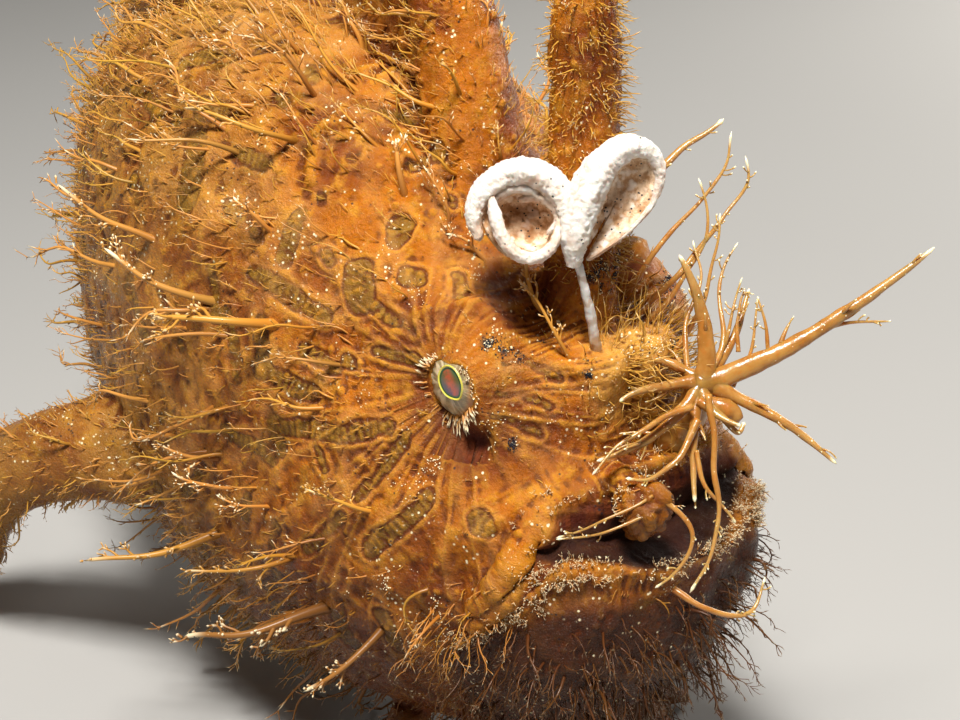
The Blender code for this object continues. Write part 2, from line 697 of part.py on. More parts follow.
def main():
    whole, head, jaw, trunk, tail = flesh()
    made = {obj: SKIN for obj in (head, jaw, trunk, tail)}
    for side, sign in SIDES.items():
        centre = (EYE_CENTRE[0], EYE_CENTRE[1] * sign, EYE_CENTRE[2])
        facing = Vector((EYE_FACING[0], EYE_FACING[1] * sign, EYE_FACING[2]))
        combine(head, ball("socket", centre, EYE_RADIUS + GAP), "DIFFERENCE")
        opening = [Vector(centre) + facing * reach for reach in LIDS_REACH]
        combine(head, tube("lids", opening, LIDS_RADII, 12), "DIFFERENCE")
        made[ball("eye_" + side, centre, EYE_RADIUS, 14)] = EYE

    fins = [soft_dorsal(), anal_fin(), caudal_fin()]
    spines = [second_spine(), third_spine()]
    for obj in spines + fins:
        made[largest_body(fit_beside(obj, whole))] = SKIN
    largest_body(fit_beside(spines[1], spines[0]))
    largest_body(fit_beside(fins[0], spines[1]))
    for side, sign in SIDES.items():
        arm, hand = pectoral(side, sign)
        foot = pelvic(side, sign)
        made[largest_body(fit_beside(arm, whole))] = SKIN
        made[largest_body(fit_beside(foot, whole))] = SKIN
        made[largest_body(fit_beside(hand, whole, arm))] = SKIN
        for sole in (foot, hand):
            combine(sole, half_space((0, 0, FLOOR), (0, 0, -1)), "DIFFERENCE")

    rod, right, left = lure()
    tuft = snout_tuft()
    made[largest_body(fit_beside(tuft, whole, rod))] = CLEAR_TAN
    made[largest_body(fit_beside(rod, whole))] = CLEAR_TAN
    made[largest_body(fit_beside(right, whole, rod, spines[0]))] = PALE
    made[largest_body(fit_beside(left, whole, rod, spines[0], right))] = PALE
    bpy.data.objects.remove(whole)

    pieces = (head, jaw, trunk, tail)
    blocked = kept_clear()
    for first_x, last_x, count, length in FILAMENTS:
        filaments(pieces, first_x, last_x, count, length, blocked)

    place(made)
    for obj, look in made.items():
        finish(obj, look)


clear_scene()
PARTS = collection("hairy_frogfish")
main()
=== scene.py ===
"""Looks of the hairy frogfish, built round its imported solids: the skin with its olive bars, the coat of
branched skin filaments, the eyes, the two-lobed lure and the feelers on the snout.

Shapes are laid out in millimetres in the fish's own straight frame: +X towards the snout, +Y towards its
left side, +Z up, eyes at z = 0. The last step bends the tail half to the left and moves it to the frame.
"""

import math

import bmesh
import bpy
import numpy as np
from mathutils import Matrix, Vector
from mathutils.bvhtree import BVHTree


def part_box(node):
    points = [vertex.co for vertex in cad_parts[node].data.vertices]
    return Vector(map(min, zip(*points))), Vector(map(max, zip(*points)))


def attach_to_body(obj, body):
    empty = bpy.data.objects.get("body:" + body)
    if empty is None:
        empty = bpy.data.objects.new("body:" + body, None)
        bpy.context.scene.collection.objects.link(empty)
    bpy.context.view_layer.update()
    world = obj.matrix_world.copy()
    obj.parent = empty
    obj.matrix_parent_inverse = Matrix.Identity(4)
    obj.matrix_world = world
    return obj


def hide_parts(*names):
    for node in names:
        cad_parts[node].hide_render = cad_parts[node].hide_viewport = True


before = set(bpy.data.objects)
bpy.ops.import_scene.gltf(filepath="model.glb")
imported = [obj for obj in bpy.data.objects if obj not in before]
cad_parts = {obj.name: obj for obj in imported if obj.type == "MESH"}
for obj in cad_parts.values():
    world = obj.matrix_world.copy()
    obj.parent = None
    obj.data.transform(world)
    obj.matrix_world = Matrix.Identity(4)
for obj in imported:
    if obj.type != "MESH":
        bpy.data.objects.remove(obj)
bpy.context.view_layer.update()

MM = 0.001
FLOOR = -40.0
SIDES = {"right": -1, "left": 1}

# The construction's own sizes: x, top, bottom, half width, height of the widest line
STATIONS = (
    (13.8, -11.4, -15.8, 2.2, -13.6),
    (13.0, -10.2, -20.0, 6.6, -14.0),
    (11.4, -8.4, -23.4, 9.2, -14.5),
    (9.4, -6.2, -26.0, 10.6, -14.5),
    (6.0, -2.2, -29.0, 12.0, -14.5),
    (0.0, 4.4, -32.4, 13.4, -13.5),
    (-8.0, 12.0, -34.8, 15.6, -12.5),
    (-20.0, 18.4, -36.6, 17.6, -11.5),
    (-33.0, 19.2, -35.8, 17.2, -10.0),
    (-46.0, 15.4, -30.5, 13.4, -8.0),
    (-58.0, 10.2, -20.5, 8.6, -5.0),
    (-68.0, 7.2, -11.0, 5.0, -2.0),
    (-76.0, 7.4, -8.6, 3.0, -0.5),
)
TOP_POWER, BOTTOM_POWER = 2.3, 2.2
SWELLINGS = {  # x, distance from the middle plane, z, reach, height
    "brow": (0.8, 7.4, 3.8, 3.4, 1.2),
    "eye_mound": (1.2, 8.6, 0.6, 4.4, 2.4),
    "snout_dome": (5.2, 1.6, -0.4, 3.2, 5.0),
    "lure_groove": (6.0, 0.0, -2.4, 2.0, -0.9),
    "cheek": (-6.0, 14.0, -15.0, 8.0, 1.4),
    "throat": (2.0, 0.0, -33.0, 6.0, -1.0),
}
BEND_START, BEND_RADIUS = -36.0, 80.0
EYE_CENTRE, EYE_RADIUS = (0.2, 7.8, -0.2), 3.2
COLLAR_LEAN = 0.70  # from the middle of the eye's opening to its edge, in radians
# The mouth: height of its upper edge in the middle, drop to the corner, power of the curve, and how far it
# stands open over how much of its width
MOUTH_HALF, GAPE_TOP, GAPE_DROP, GAPE_POWER = 12.6, -7.3, 10.6, 6.0
OPEN_HALF, OPEN_HEIGHT, SHUT_HEIGHT = 11.2, 3.5, 0.45
LIP_HALF, BAND_HALF = 11.4, 8.6
KNOBS = (  # centre and radius of the bumps on the upper lip
    ((12.0, -3.6, -7.2), 1.00),
    ((11.7, -3.1, -6.5), 1.00),
    ((11.6, -4.2, -6.5), 0.75),
    ((10.7, -3.4, -6.5), 1.05),
    ((9.5, -3.1, -6.1), 1.10),
)

# The golden domed snout, and the wider patch of hairs on and round it
GOLDEN_CENTRE, GOLDEN_REACH = np.array((8.2, 0.8, 0.6)), np.array((4.4, 4.8, 4.2))
DOME_CENTRE, DOME_REACH = np.array((5.0, 2.6, -1.5)), np.array((4.4, 5.2, 4.6))
SKIN_DEPTH = 0.6  # of the coat over the skin
VOXEL = 0.33
FINE_FROM = (-12.5, -29.0)  # x and z ahead of and above which the near side's skin is twice as fine
FINE_TO_Y = 3.0

# The photograph's view: degrees round and above, distance and width of the view at the near eye
VIEW_AZIMUTH, VIEW_ELEVATION = 50.0, 25.0
VIEW_DISTANCE, VIEW_WIDTH, SENSOR = 125.0, 64.3, 36.0
VIEW_ORIGIN = np.array((0.3, -10.2, 0.0))
VIEW_MIDDLE = (1.875, 1.474)  # the picture's centre, measured from the near eye

# Olive bars of the skin as the view shows them: points along each, half widths at its ends
BARS = (
    (((-6.2, 7.4), (-6.2, 5.9)), 1.15, 1.35),
    (((-6.1, 5.6), (-4.8, 4.9), (-2.3, 3.3)), 0.55, 0.30),
    (((-3.5, 10.4), (-3.5, 10.0)), 1.05, 0.95),
    (((-3.0, 7.1), (-2.4, 6.9)), 0.75, 0.85),
    (((-5.2, 2.2), (-2.2, 1.2)), 0.40, 0.55),
    (((-7.1, 1.4), (-6.9, 1.2)), 0.50, 0.50),
    (((-9.9, 2.1), (-7.8, 0.8)), 0.50, 0.60),
    (((-12.9, 0.7), (-11.0, 0.0), (-9.2, -0.8)), 0.75, 0.70),
    (((-11.5, -2.8), (-8.0, -3.3), (-4.2, -3.2)), 0.75, 0.60),
    (((-2.4, -3.4), (-4.2, -5.4), (-6.3, -7.6)), 0.40, 0.55),
    (((-1.5, -7.6), (-3.4, -9.6), (-5.4, -11.2)), 0.60, 0.85),
    (((2.0, -9.1), (2.6, -9.5)), 0.95, 0.75),
    (((-15.4, -3.3), (-12.3, -5.1)), 0.65, 0.75),
    (((-7.2, -9.2), (-9.8, -11.3)), 0.50, 0.60),
    (((-13.5, 7.4), (-11.0, 6.0), (-8.7, 4.4)), 0.70, 0.70),
    (((-10.2, 11.2), (-11.2, 8.2)), 0.65, 0.80),
    (((-8.4, 8.6), (-8.2, 8.1)), 0.50, 0.50),
    (((-8.8, 12.4), (-8.8, 12.0)), 0.40, 0.40),
    (((0.0, 12.3), (0.2, 11.8)), 0.35, 0.35),
    (((0.5, 6.7), (0.6, 5.6)), 0.45, 0.55),
    (((-17.3, 16.0), (-17.6, 12.6)), 1.40, 1.60),
    (((-9.5, 20.8), (-9.2, 20.3)), 0.60, 0.60),
    (((-11.7, 19.1), (-11.3, 18.6)), 0.60, 0.60),
    (((-21.3, 13.3), (-21.0, 12.6)), 0.85, 0.85),
    (((3.4, 1.1), (5.2, 1.1), (6.8, 0.4)), 0.18, 0.28),
    (((2.8, -0.8), (4.6, -0.8), (6.4, -1.6)), 0.18, 0.30),
    (((3.0, -2.3), (5.8, -3.2)), 0.22, 0.30),
)
SEEDED_BARS = 190
RIB_STEP = 0.62  # from one dark line across a bar to the next

# Raised lines of the skin as the view shows them: points, half width, height
FOLDS = (
    (((6.2, -10.4), (3.8, -12.8), (1.5, -15.6)), 1.05, 0.85),
    (((7.6, -11.6), (5.6, -13.6), (3.0, -16.4)), 0.35, -0.55),
    (((2.0, -8.0), (-0.4, -11.0), (-2.0, -14.5)), 0.80, 0.40),
    (((7.6, -6.6), (4.4, -8.2), (1.8, -10.4)), 0.70, 0.35),
    (((-2.0, 4.6), (0.8, 5.0), (3.4, 4.2)), 0.70, 0.55),
    (((-3.6, 21.0), (-9.0, 16.5), (-9.4, 13.5)), 0.50, 0.60),
    (((13.4, -8.0), (13.0, -8.6)), 1.50, 1.10),
    (((15.9, -6.7), (15.9, -9.0)), 1.10, 0.70),
    (((2.2, 5.8), (0.2, 3.0), (-1.6, 1.6)), 0.60, 0.35),
    (((3.4, 3.4), (6.4, 2.0), (8.4, 0.6)), 0.60, 0.30),
)
# Hollows, dented into the relief and darkened with painted shade: centre in the view, reach, depth
HOLLOWS = (((0.9, -4.3), 2.4, 0.9), ((-0.8, -3.6), 1.2, 0.4), ((3.6, 4.4), 1.5, 0.35), ((6.4, 6.6), 1.5, 0.3))
DARK_PATCHES = (
    ((2.4, 2.7), 0.50), ((3.4, 2.3), 0.55), ((4.4, 1.7), 0.45), ((9.6, 7.2), 0.8), ((11.0, 7.8), 1.3), ((12.2, 8.3), 0.9),
    ((9.1, 0.5), 0.35), ((4.2, -4.2), 0.35), ((5.9, 2.8), 0.25),
)

# Long filaments that the view shows one by one: root, tip, length of the stretch that stands free, width
HEROES = (
    ((-10.2, 16.3), (-17.9, 18.2), 0.48),
    ((-11.7, 3.7), (-20.2, 4.3), 0.82),
    ((-15.9, 5.2), (-23.6, 9.0), 0.68),
    ((-19.8, 9.2), (-26.2, 12.9), 0.61),
    ((-13.7, 21.6), (-15.9, 22.9), 0.41),
    ((-12.1, 9.8), (-14.5, 12.5), 0.41),
    ((-8.2, -15.4), (-18.0, -17.4), 0.85),
    ((-15.7, -10.2), (-24.6, -12.1), 0.75),
    ((-10.6, -11.8), (-17.8, -12.5), 0.48),
    ((-4.8, -9.0), (-9.6, -7.0), 0.41),
    ((-12.2, -8.6), (-15.6, -7.6), 0.34),
    ((-15.7, -5.2), (-19.4, -4.2), 0.48),
    ((-14.7, -7.2), (-18.6, -5.8), 0.41),
    ((-4.6, -16.6), (-10.1, -20.8), 0.61),
    ((-3.0, 12.2), (-3.8, 16.4), 0.60),
    ((-0.3, 10.0), (-2.1, 14.5), 0.30),
    ((3.4, 14.5), (2.9, 17.2), 0.26),
    ((3.4, 7.4), (-0.4, 9.9), 0.40),
    ((7.8, 1.4), (4.3, 6.8), 0.34),
    ((6.8, 4.3), (5.1, 8.6), 0.50),
)

# Feelers of the snout tuft, as the solids have them: direction in the view, lean towards the viewer,
# length, width at the root, bend
TUFT_BRANCHES = (
    (101, 0.10, 9.2, 1.50, 1.6),
    (61, -0.30, 8.0, 0.95, 0.8),
    (31, 0.05, 18.4, 1.60, 1.9),
    (-31, 0.15, 10.6, 1.10, -1.0),
    (-52, 0.60, 4.4, 1.05, 1.4),
    (-96, 0.30, 8.6, 0.95, 0.8),
    (-144, 0.30, 9.6, 1.05, -1.4),
    (-168, 0.25, 6.4, 1.00, 0.9),
    (160, -0.10, 6.4, 0.90, 0.9),
)
TUFT_CENTRE = (16.9, -0.1, -0.9)
# Thin feelers beside them: points in the view, width at the root and the tip
FINE_FEELERS = (
    (((21.4, 1.8, -0.6), (21.0, 4.0, -0.8), (20.7, 5.8, -1.0)), 0.34, 0.12),
    (((19.2, 2.0, -0.8), (19.4, 4.4, -1.2), (19.8, 6.0, -1.4), (20.4, 5.9, -1.4)), 0.34, 0.12),
    (((24.4, 3.4, -0.4), (27.0, 4.0, -0.8), (29.7, 4.1, -1.2)), 0.36, 0.12),
    (((16.6, -1.2, -0.2), (18.0, -2.4, 0.4), (19.2, -3.3, 0.4), (19.6, -2.6, 0.2)), 0.80, 0.30),
    (((17.4, 0.6, -0.6), (18.4, 3.0, -1.6), (18.2, 6.6, -2.6), (19.6, 9.6, -3.4)), 0.50, 0.14),
    (((16.0, 0.6, -1.0), (15.8, 3.6, -2.0), (17.0, 7.0, -3.0), (16.6, 9.8, -3.6)), 0.46, 0.14),
    (((12.0, 4.0, -4.0), (15.4, 7.2, -4.0), (18.7, 11.4, -4.0), (20.4, 13.9, -4.0), (20.2, 15.6, -4.0)), 0.55, 0.18),
    (((12.0, 6.0, -5.0), (15.0, 10.2, -5.0), (17.7, 13.1, -5.0), (19.2, 15.6, -5.0), (19.4, 17.4, -5.0)), 0.50, 0.16),
    (((13.4, 4.0, -4.0), (16.4, 7.8, -4.0), (17.7, 11.4, -4.0), (16.9, 14.1, -4.0)), 0.42, 0.14),
    (((15.0, 1.6, -3.0), (16.9, 4.8, -3.0), (18.0, 8.8, -3.0), (18.4, 11.6, -3.0)), 0.46, 0.15),
    (((19.0, -0.4, -1.0), (20.4, 2.8, -1.4), (20.7, 5.8, -1.8)), 0.34, 0.12),
    (((16.9, -0.4, -1.0), (18.4, 2.3, -1.4), (19.0, 4.8, -1.6), (19.7, 7.1, -1.8)), 0.40, 0.13),
    (((11.4, 10.4, -6.0), (13.9, 14.4, -6.0), (15.9, 16.1, -6.0), (19.0, 18.4, -6.0)), 0.95, 0.30),
    (((17.2, -0.8, 0.4), (17.5, -6.2, 1.2), (17.5, -10.3, 1.6), (15.8, -13.9, 1.8)), 0.55, 0.20),
    (((13.6, -7.6, 2.4), (15.8, -9.6, 2.8), (14.4, -12.7, 2.8), (13.4, -13.4, 2.8)), 0.42, 0.16),
    (((16.2, -4.6, 1.0), (16.9, -7.0, 1.4), (18.9, -9.3, 1.0)), 0.40, 0.16),
    (((14.6, -13.6, 1.6), (16.7, -14.9, 2.2), (20.1, -15.0, 1.4), (20.8, -12.9, 0.8)), 0.50, 0.18),
    (((13.2, -7.4, 3.0), (9.6, -9.2, 3.2), (6.9, -10.2, 2.6)), 0.26, 0.12),
    (((13.2, -8.4, 3.0), (10.0, -9.8, 3.2), (6.9, -10.3, 2.6)), 0.24, 0.12),
    (((16.4, -2.6, 0.8), (14.6, -5.4, 1.6), (13.0, -6.4, 2.4), (11.4, -6.2, 2.6)), 0.60, 0.22),
    (((16.0, -1.6, 0.6), (13.6, -2.6, 1.4), (11.0, -4.2, 2.2), (9.2, -6.0, 2.6)), 0.50, 0.16),
)
SAC = ((17.2, -1.2, -0.6), (18.1, -1.7, -0.5), (18.9, -2.1, -0.6), (19.2, -2.8, -0.7))

# The shade brown, the red of the hollows, the throat's near black and the cream's shade are colours of painted shade;
# the pale grain colour is the real pale tips of the filaments and also painted glints.
ORANGE_DEEP, ORANGE, ORANGE_PALE = (0.19, 0.036, 0.002), (0.42, 0.122, 0.004), (0.55, 0.235, 0.016)
OLIVE, OLIVE_DARK, LINE_DARK = (0.28, 0.150, 0.018), (0.15, 0.074, 0.010), (0.040, 0.015, 0.006)
PINK_LINE, RED_HOLLOW_SHADE, PALE_TIPS_AND_GLINTS = (0.66, 0.34, 0.10), (0.075, 0.008, 0.002), (0.90, 0.80, 0.54)
BLUE_BLACK, TAN, SHADE_BROWN = (0.012, 0.014, 0.022), (0.36, 0.20, 0.045), (0.045, 0.012, 0.005)
GOLD, ROSE, DOME_GOLD = (0.60, 0.34, 0.050), (0.60, 0.28, 0.070), (0.66, 0.35, 0.075)
CREAM, CREAM_SHADE, THROAT_SHADE = (0.98, 0.92, 0.85), (0.66, 0.36, 0.18), (0.020, 0.003, 0.001)


def view_axes():
    a, e = math.radians(VIEW_AZIMUTH), math.radians(VIEW_ELEVATION)
    right = np.array((math.cos(a), math.sin(a), 0.0))
    toward = np.array((math.sin(a) * math.cos(e), -math.cos(a) * math.cos(e), math.sin(e)))
    return right, np.cross(toward, right), toward


ACROSS, UPWARD, NEARER = view_axes()
CAMERA_AT = VIEW_ORIGIN + ACROSS * VIEW_MIDDLE[0] + UPWARD * VIEW_MIDDLE[1] + NEARER * VIEW_DISTANCE
EYE_AT = (Vector(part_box("eye_right")[0]) + Vector(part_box("eye_right")[1])) / 2
ORIGIN = np.array(EYE_AT) - np.array((EYE_CENTRE[0], -EYE_CENTRE[1], EYE_CENTRE[2])) * MM


def from_view(right, up, toward):
    """A point measured from the near eye along the view's own axes."""
    return VIEW_ORIGIN + ACROSS * right + UPWARD * up + NEARER * toward


def unit(vectors):
    return vectors / np.maximum(np.linalg.norm(vectors, axis=-1, keepdims=True), 1e-9)


def in_world(points):
    """The straight fish's points, in millimetres, bent and moved to the frame, in metres."""
    p = np.array(points, float).reshape(-1, 3)
    behind = p[:, 0] < BEND_START
    angle = (BEND_START - p[behind, 0]) / BEND_RADIUS
    reach = BEND_RADIUS - p[behind, 1]
    p[behind, 0] = BEND_START - reach * np.sin(angle)
    p[behind, 1] = BEND_RADIUS - reach * np.cos(angle)
    return p * MM + ORIGIN


def cell_values(cells, seed):
    """A repeatable number from 0 to 1 for each whole-number cell."""
    primes = np.array((73856093, 19349663, 83492791), np.uint64)
    mixed = (cells.astype(np.int64).astype(np.uint64) * primes).sum(axis=-1, dtype=np.uint64)
    mixed = mixed + np.uint64(seed * 2654435761)
    mixed = (mixed ^ (mixed >> np.uint64(15))) * np.uint64(2246822519)
    mixed = (mixed ^ (mixed >> np.uint64(13))) * np.uint64(3266489917)
    return ((mixed ^ (mixed >> np.uint64(16))) & np.uint64(0xFFFFFF)) / float(0xFFFFFF)


def noise(points, size, seed=0):
    """Smooth noise from -1 to 1 with features of about this size."""
    at = points / np.array(size, float)
    cell = np.floor(at).astype(np.int64)
    t = at - cell
    t = t * t * (3 - 2 * t)
    total = 0.0
    for corner in np.ndindex(2, 2, 2):
        weight = np.prod(np.where(corner, t, 1 - t), axis=-1)
        total = total + weight * cell_values(cell + corner, seed)
    return 2 * total - 1


def bumps(points, size, radius, share, seed):
    """Round bumps from 0 to 1, one in this share of the cells."""
    cell = np.floor(points / size).astype(np.int64)
    found = np.zeros(len(points))
    for step in np.ndindex(3, 3, 3):
        near = cell + np.array(step) - 1
        jitter = np.stack([cell_values(near, seed + k) for k in range(3)], axis=-1)
        away = np.linalg.norm(points - (near + jitter) * size, axis=-1)
        there = cell_values(near, seed + 3) < share
        found = np.maximum(found, np.where(there, np.clip(1 - (away / radius) ** 2, 0, 1), 0))
    return found


def sizes_at(x):
    """Top, bottom, half width and widest line at each x, from a smooth curve through the stations."""
    table = np.array(STATIONS[::-1])
    at, values = table[:, 0], table[:, 1:]
    slopes = np.gradient(values, at, axis=0)
    x = np.asarray(x, float)
    i = np.clip(np.searchsorted(at, x) - 1, 0, len(at) - 2)
    span = (at[i + 1] - at[i])[..., None]
    t = (x - at[i])[..., None] / span
    t = np.clip(t, 0, 1)
    made = (
        (2 * t**3 - 3 * t**2 + 1) * values[i]
        + (t**3 - 2 * t**2 + t) * span * slopes[i]
        + (3 * t**2 - 2 * t**3) * values[i + 1]
        + (t**3 - t**2) * span * slopes[i + 1]
    )
    return np.moveaxis(made, -1, 0)


def section(x, angle):
    """Points of the body's sections; the angle is 0 at the back and grows towards the left side."""
    top, bottom, half, middle = sizes_at(x)
    up, out = np.cos(angle), np.sin(angle)
    power = np.where(up > 0, TOP_POWER, BOTTOM_POWER)
    height = np.where(up > 0, top - middle, middle - bottom)
    y = half * np.sign(out) * np.abs(out) ** (2 / power)
    z = middle + height * np.sign(up) * np.abs(up) ** (2 / power)
    return np.stack([x, y, z], axis=-1)


def fullness(points):
    """1 on the body's plain surface, less inside it and more outside."""
    top, bottom, half, middle = sizes_at(points[:, 0])
    up = points[:, 2] > middle
    power = np.where(up, TOP_POWER, BOTTOM_POWER)
    height = np.where(up, top - middle, middle - bottom)
    q = (np.abs(points[:, 1]) / half) ** power + (np.abs(points[:, 2] - middle) / height) ** power
    return q ** (1 / power)


def upper_edge(y):
    """Height of the mouth's upper edge at this distance from the middle."""
    return GAPE_TOP - GAPE_DROP * (np.abs(y) / MOUTH_HALF) ** GAPE_POWER


def lower_edge(y):
    return upper_edge(y) - SHUT_HEIGHT - OPEN_HEIGHT * np.maximum(0.0, 1 - (y / OPEN_HALF) ** 2)


def arc(start, handle, end, count):
    """Points of a quadratic curve."""
    t = np.linspace(0, 1, count)[:, None]
    start, handle, end = np.array(start, float), np.array(handle, float), np.array(end, float)
    return start * (1 - t) ** 2 + handle * 2 * t * (1 - t) + end * t**2


def smooth_line(points, count):
    """A smooth curve through the points, with its own points evenly spaced."""
    points = np.array(points, float)
    run = np.concatenate([[0], np.cumsum(np.linalg.norm(np.diff(points, axis=0), axis=1))])
    slopes = np.gradient(points, run, axis=0)
    at = np.linspace(0, run[-1], count)
    i = np.clip(np.searchsorted(run, at) - 1, 0, len(run) - 2)
    span = (run[i + 1] - run[i])[:, None]
    t = (at - run[i])[:, None] / span
    return (
        (2 * t**3 - 3 * t**2 + 1) * points[i]
        + (t**3 - 2 * t**2 + t) * span * slopes[i]
        + (3 * t**2 - 2 * t**3) * points[i + 1]
        + (t**3 - t**2) * span * slopes[i + 1]
    )


def mesh_from(name, points, faces):
    mesh = bpy.data.meshes.new(name)
    mesh.from_pydata([tuple(p) for p in points], [], [tuple(f) for f in faces])
    mesh.update()
    return mesh


def object_of(mesh, name):
    obj = bpy.data.objects.new(name, mesh)
    bpy.context.scene.collection.objects.link(obj)
    return obj


def points_of(mesh):
    found = np.empty(len(mesh.vertices) * 3)
    mesh.vertices.foreach_get("co", found)
    return found.reshape(-1, 3)


def normals_of(mesh):
    found = np.empty(len(mesh.vertices) * 3)
    mesh.vertex_normals.foreach_get("vector", found)
    return found.reshape(-1, 3)


def set_points(mesh, points):
    mesh.vertices.foreach_set("co", np.asarray(points, float).ravel())
    mesh.update()


def set_attribute(mesh, name, values):
    """A number, or a vector, for each point of the mesh."""
    values = np.asarray(values, float)
    kind, field = ("FLOAT_VECTOR", "vector") if values.ndim == 2 else ("FLOAT", "value")
    layer = mesh.attributes.new(name, kind, "POINT")
    layer.data.foreach_set(field, values.ravel())


def applied(obj):
    """Makes the object's modifiers part of its mesh."""
    graph = bpy.context.evaluated_depsgraph_get()
    mesh = bpy.data.meshes.new_from_object(obj.evaluated_get(graph))
    obj.modifiers.clear()
    obj.data = mesh
    return obj


def grid_faces(rows, columns, closed):
    """Faces of a grid of points, row by row; a closed one joins its last column to its first."""
    across = columns if closed else columns - 1
    i, j = np.meshgrid(np.arange(rows - 1), np.arange(across), indexing="ij")
    k = (j + 1) % columns
    return np.stack([i * columns + j, i * columns + k, (i + 1) * columns + k, (i + 1) * columns + j], -1).reshape(-1, 4)


def shell(grid):
    """A closed body from a grid of rings: its points and faces."""
    rows, columns, _ = grid.shape
    faces = [list(f) for f in grid_faces(rows, columns, True)]
    faces.append(list(range(columns))[::-1])
    faces.append([(rows - 1) * columns + j for j in range(columns)])
    return grid.reshape(-1, 3), faces


def frames_along(path):
    """Two directions across a path at each of its points, turning as little as they can."""
    way = unit(np.gradient(path, axis=0))
    side = unit(np.cross(way[0], (0.31, 0.27, 0.91)))
    sides = []
    for tangent in way:
        side = unit(side - tangent * np.dot(side, tangent))
        sides.append(side)
    sides = np.array(sides)
    return sides, np.cross(way, sides)


def tube_grid(path, radii, sides=16):
    one, two = frames_along(path)
    turn = 2 * math.pi * np.arange(sides) / sides
    rim = one[:, None] * np.cos(turn)[None, :, None] + two[:, None] * np.sin(turn)[None, :, None]
    return path[:, None] + rim * np.asarray(radii)[:, None, None]


def outward_normals(mesh):
    bm = bmesh.new()
    bm.from_mesh(mesh)
    bmesh.ops.recalc_face_normals(bm, faces=bm.faces)
    bm.to_mesh(mesh)
    bm.free()


def joined(shells):
    points, faces, start = [], [], 0
    for body, loops in shells:
        points.append(body)
        faces += [[v + start for v in loop] for loop in loops]
        start += len(body)
    return np.concatenate(points), faces


def body_shell():
    """The body without its fins, with its swellings, drawn in by the coat's depth."""
    first, last, rings, around = STATIONS[0][0], STATIONS[-1][0], 150, 150
    x = first + (last - first) * np.linspace(0, 1, rings) ** 1.35
    turns = 2 * math.pi * np.arange(around) / around
    grid = section(*np.meshgrid(x, turns, indexing="ij"))
    points, faces = shell(grid)
    mesh = mesh_from("body", points, faces)
    outward_normals(mesh)
    normals = normals_of(mesh)
    move = np.zeros(len(points))
    for at_x, off, at_z, reach, height in SWELLINGS.values():
        away = np.stack([points[:, 0] - at_x, np.abs(points[:, 1]) - off, points[:, 2] - at_z], -1)
        move += height * np.exp(-((np.linalg.norm(away, axis=-1) / reach) ** 2))
    set_points(mesh, points + normals * (move - SKIN_DEPTH)[:, None])
    return object_of(mesh, "body")


def mouth_cutter():
    """The space between the jaws, arched across and closing towards its back wall."""
    y = np.linspace(-1, 1, 41)
    rings = []
    for x, reach, open_share in ((30.0, MOUTH_HALF, 1.0), (6.0, MOUTH_HALF - 0.5, 1.0), (-2.0, MOUTH_HALF - 4.0, 1.5)):
        upper, lower = upper_edge(y * reach), lower_edge(y * reach)
        middle, half = (upper + lower) / 2, (upper - lower) / 2 * open_share
        half = np.maximum(half, 0.05)
        outline = [(x, side * reach, m + h) for side, m, h in zip(y, middle, half)]
        outline += [(x, side * reach, m - h) for side, m, h in zip(y[::-1], middle[::-1], half[::-1])]
        rings.append(outline)
    points, faces = shell(np.array(rings))
    mesh = mesh_from("mouth", points, faces)
    outward_normals(mesh)
    return object_of(mesh, "mouth")


def front_of_skin(y, z):
    """The x where the snout's plain skin meets this height and side distance."""
    x = np.arange(STATIONS[0][0], -20.0, -0.05)
    inside = fullness(np.stack([x, np.full(len(x), y), np.full(len(x), z)], -1)) < 1
    return x[np.argmax(inside)] if inside.any() else x[-1]


def lip_shell(edge, offset, radius):
    """A rounded lip along one edge of the mouth, thinning to its corners."""
    line = []
    for y in np.linspace(-LIP_HALF - 0.6, LIP_HALF + 0.6, 41):
        z = edge(y) + offset
        line.append((front_of_skin(y, z) - radius * 0.6 - SKIN_DEPTH * 0.5, y, z))
    path = smooth_line(line, 70)
    share = np.linspace(0, 1, len(path))
    return shell(tube_grid(path, radius * (0.45 + 0.55 * np.sin(math.pi * share) ** 0.5), 14))


def premaxilla_shell():
    """The striped inner band of the upper jaw, which shows under the lip."""
    line = []
    for y in np.linspace(-BAND_HALF, BAND_HALF, 31):
        z = upper_edge(y) - 1.3
        line.append((front_of_skin(y, z) - SKIN_DEPTH - 1.8, y, z))
    path = smooth_line(line, 60)
    away = tube_grid(path, np.full(60, 1.0), 16) - path[:, None]
    return shell(path[:, None] + away * (0.7, 0.7, 1.95))


def ball_shell(centre, radius):
    lean = np.linspace(0.06, math.pi - 0.06, 20)
    turn = 2 * math.pi * np.arange(28) / 28
    ring = np.stack([np.cos(turn), np.sin(turn), np.zeros(28)], -1)
    way = ring[None] * np.sin(lean)[:, None, None] + np.array((0, 0, 1.0)) * np.cos(lean)[:, None, None]
    return shell(np.array(centre) + way * radius)


def sheet_shell(middle, half_thick):
    """A closed sheet of this half thickness round a grid of points."""
    rows, columns, _ = middle.shape
    along, across = np.gradient(middle, axis=0), np.gradient(middle, axis=1)
    normal = unit(np.cross(along, across))
    upper, lower = middle + normal * half_thick[..., None], middle - normal * half_thick[..., None]
    size = rows * columns
    faces = [list(f) for f in grid_faces(rows, columns, False)]
    faces += [[v + size for v in f[::-1]] for f in faces]
    rim = [j for j in range(columns)] + [(i + 1) * columns - 1 for i in range(1, rows)]
    rim += [(rows - 1) * columns + j for j in range(columns - 2, -1, -1)] + [i * columns for i in range(rows - 2, 0, -1)]
    for a, b in zip(rim, rim[1:] + rim[:1]):
        faces.append([b, a, a + size, b + size])
    return np.concatenate([upper.reshape(-1, 3), lower.reshape(-1, 3)]), faces


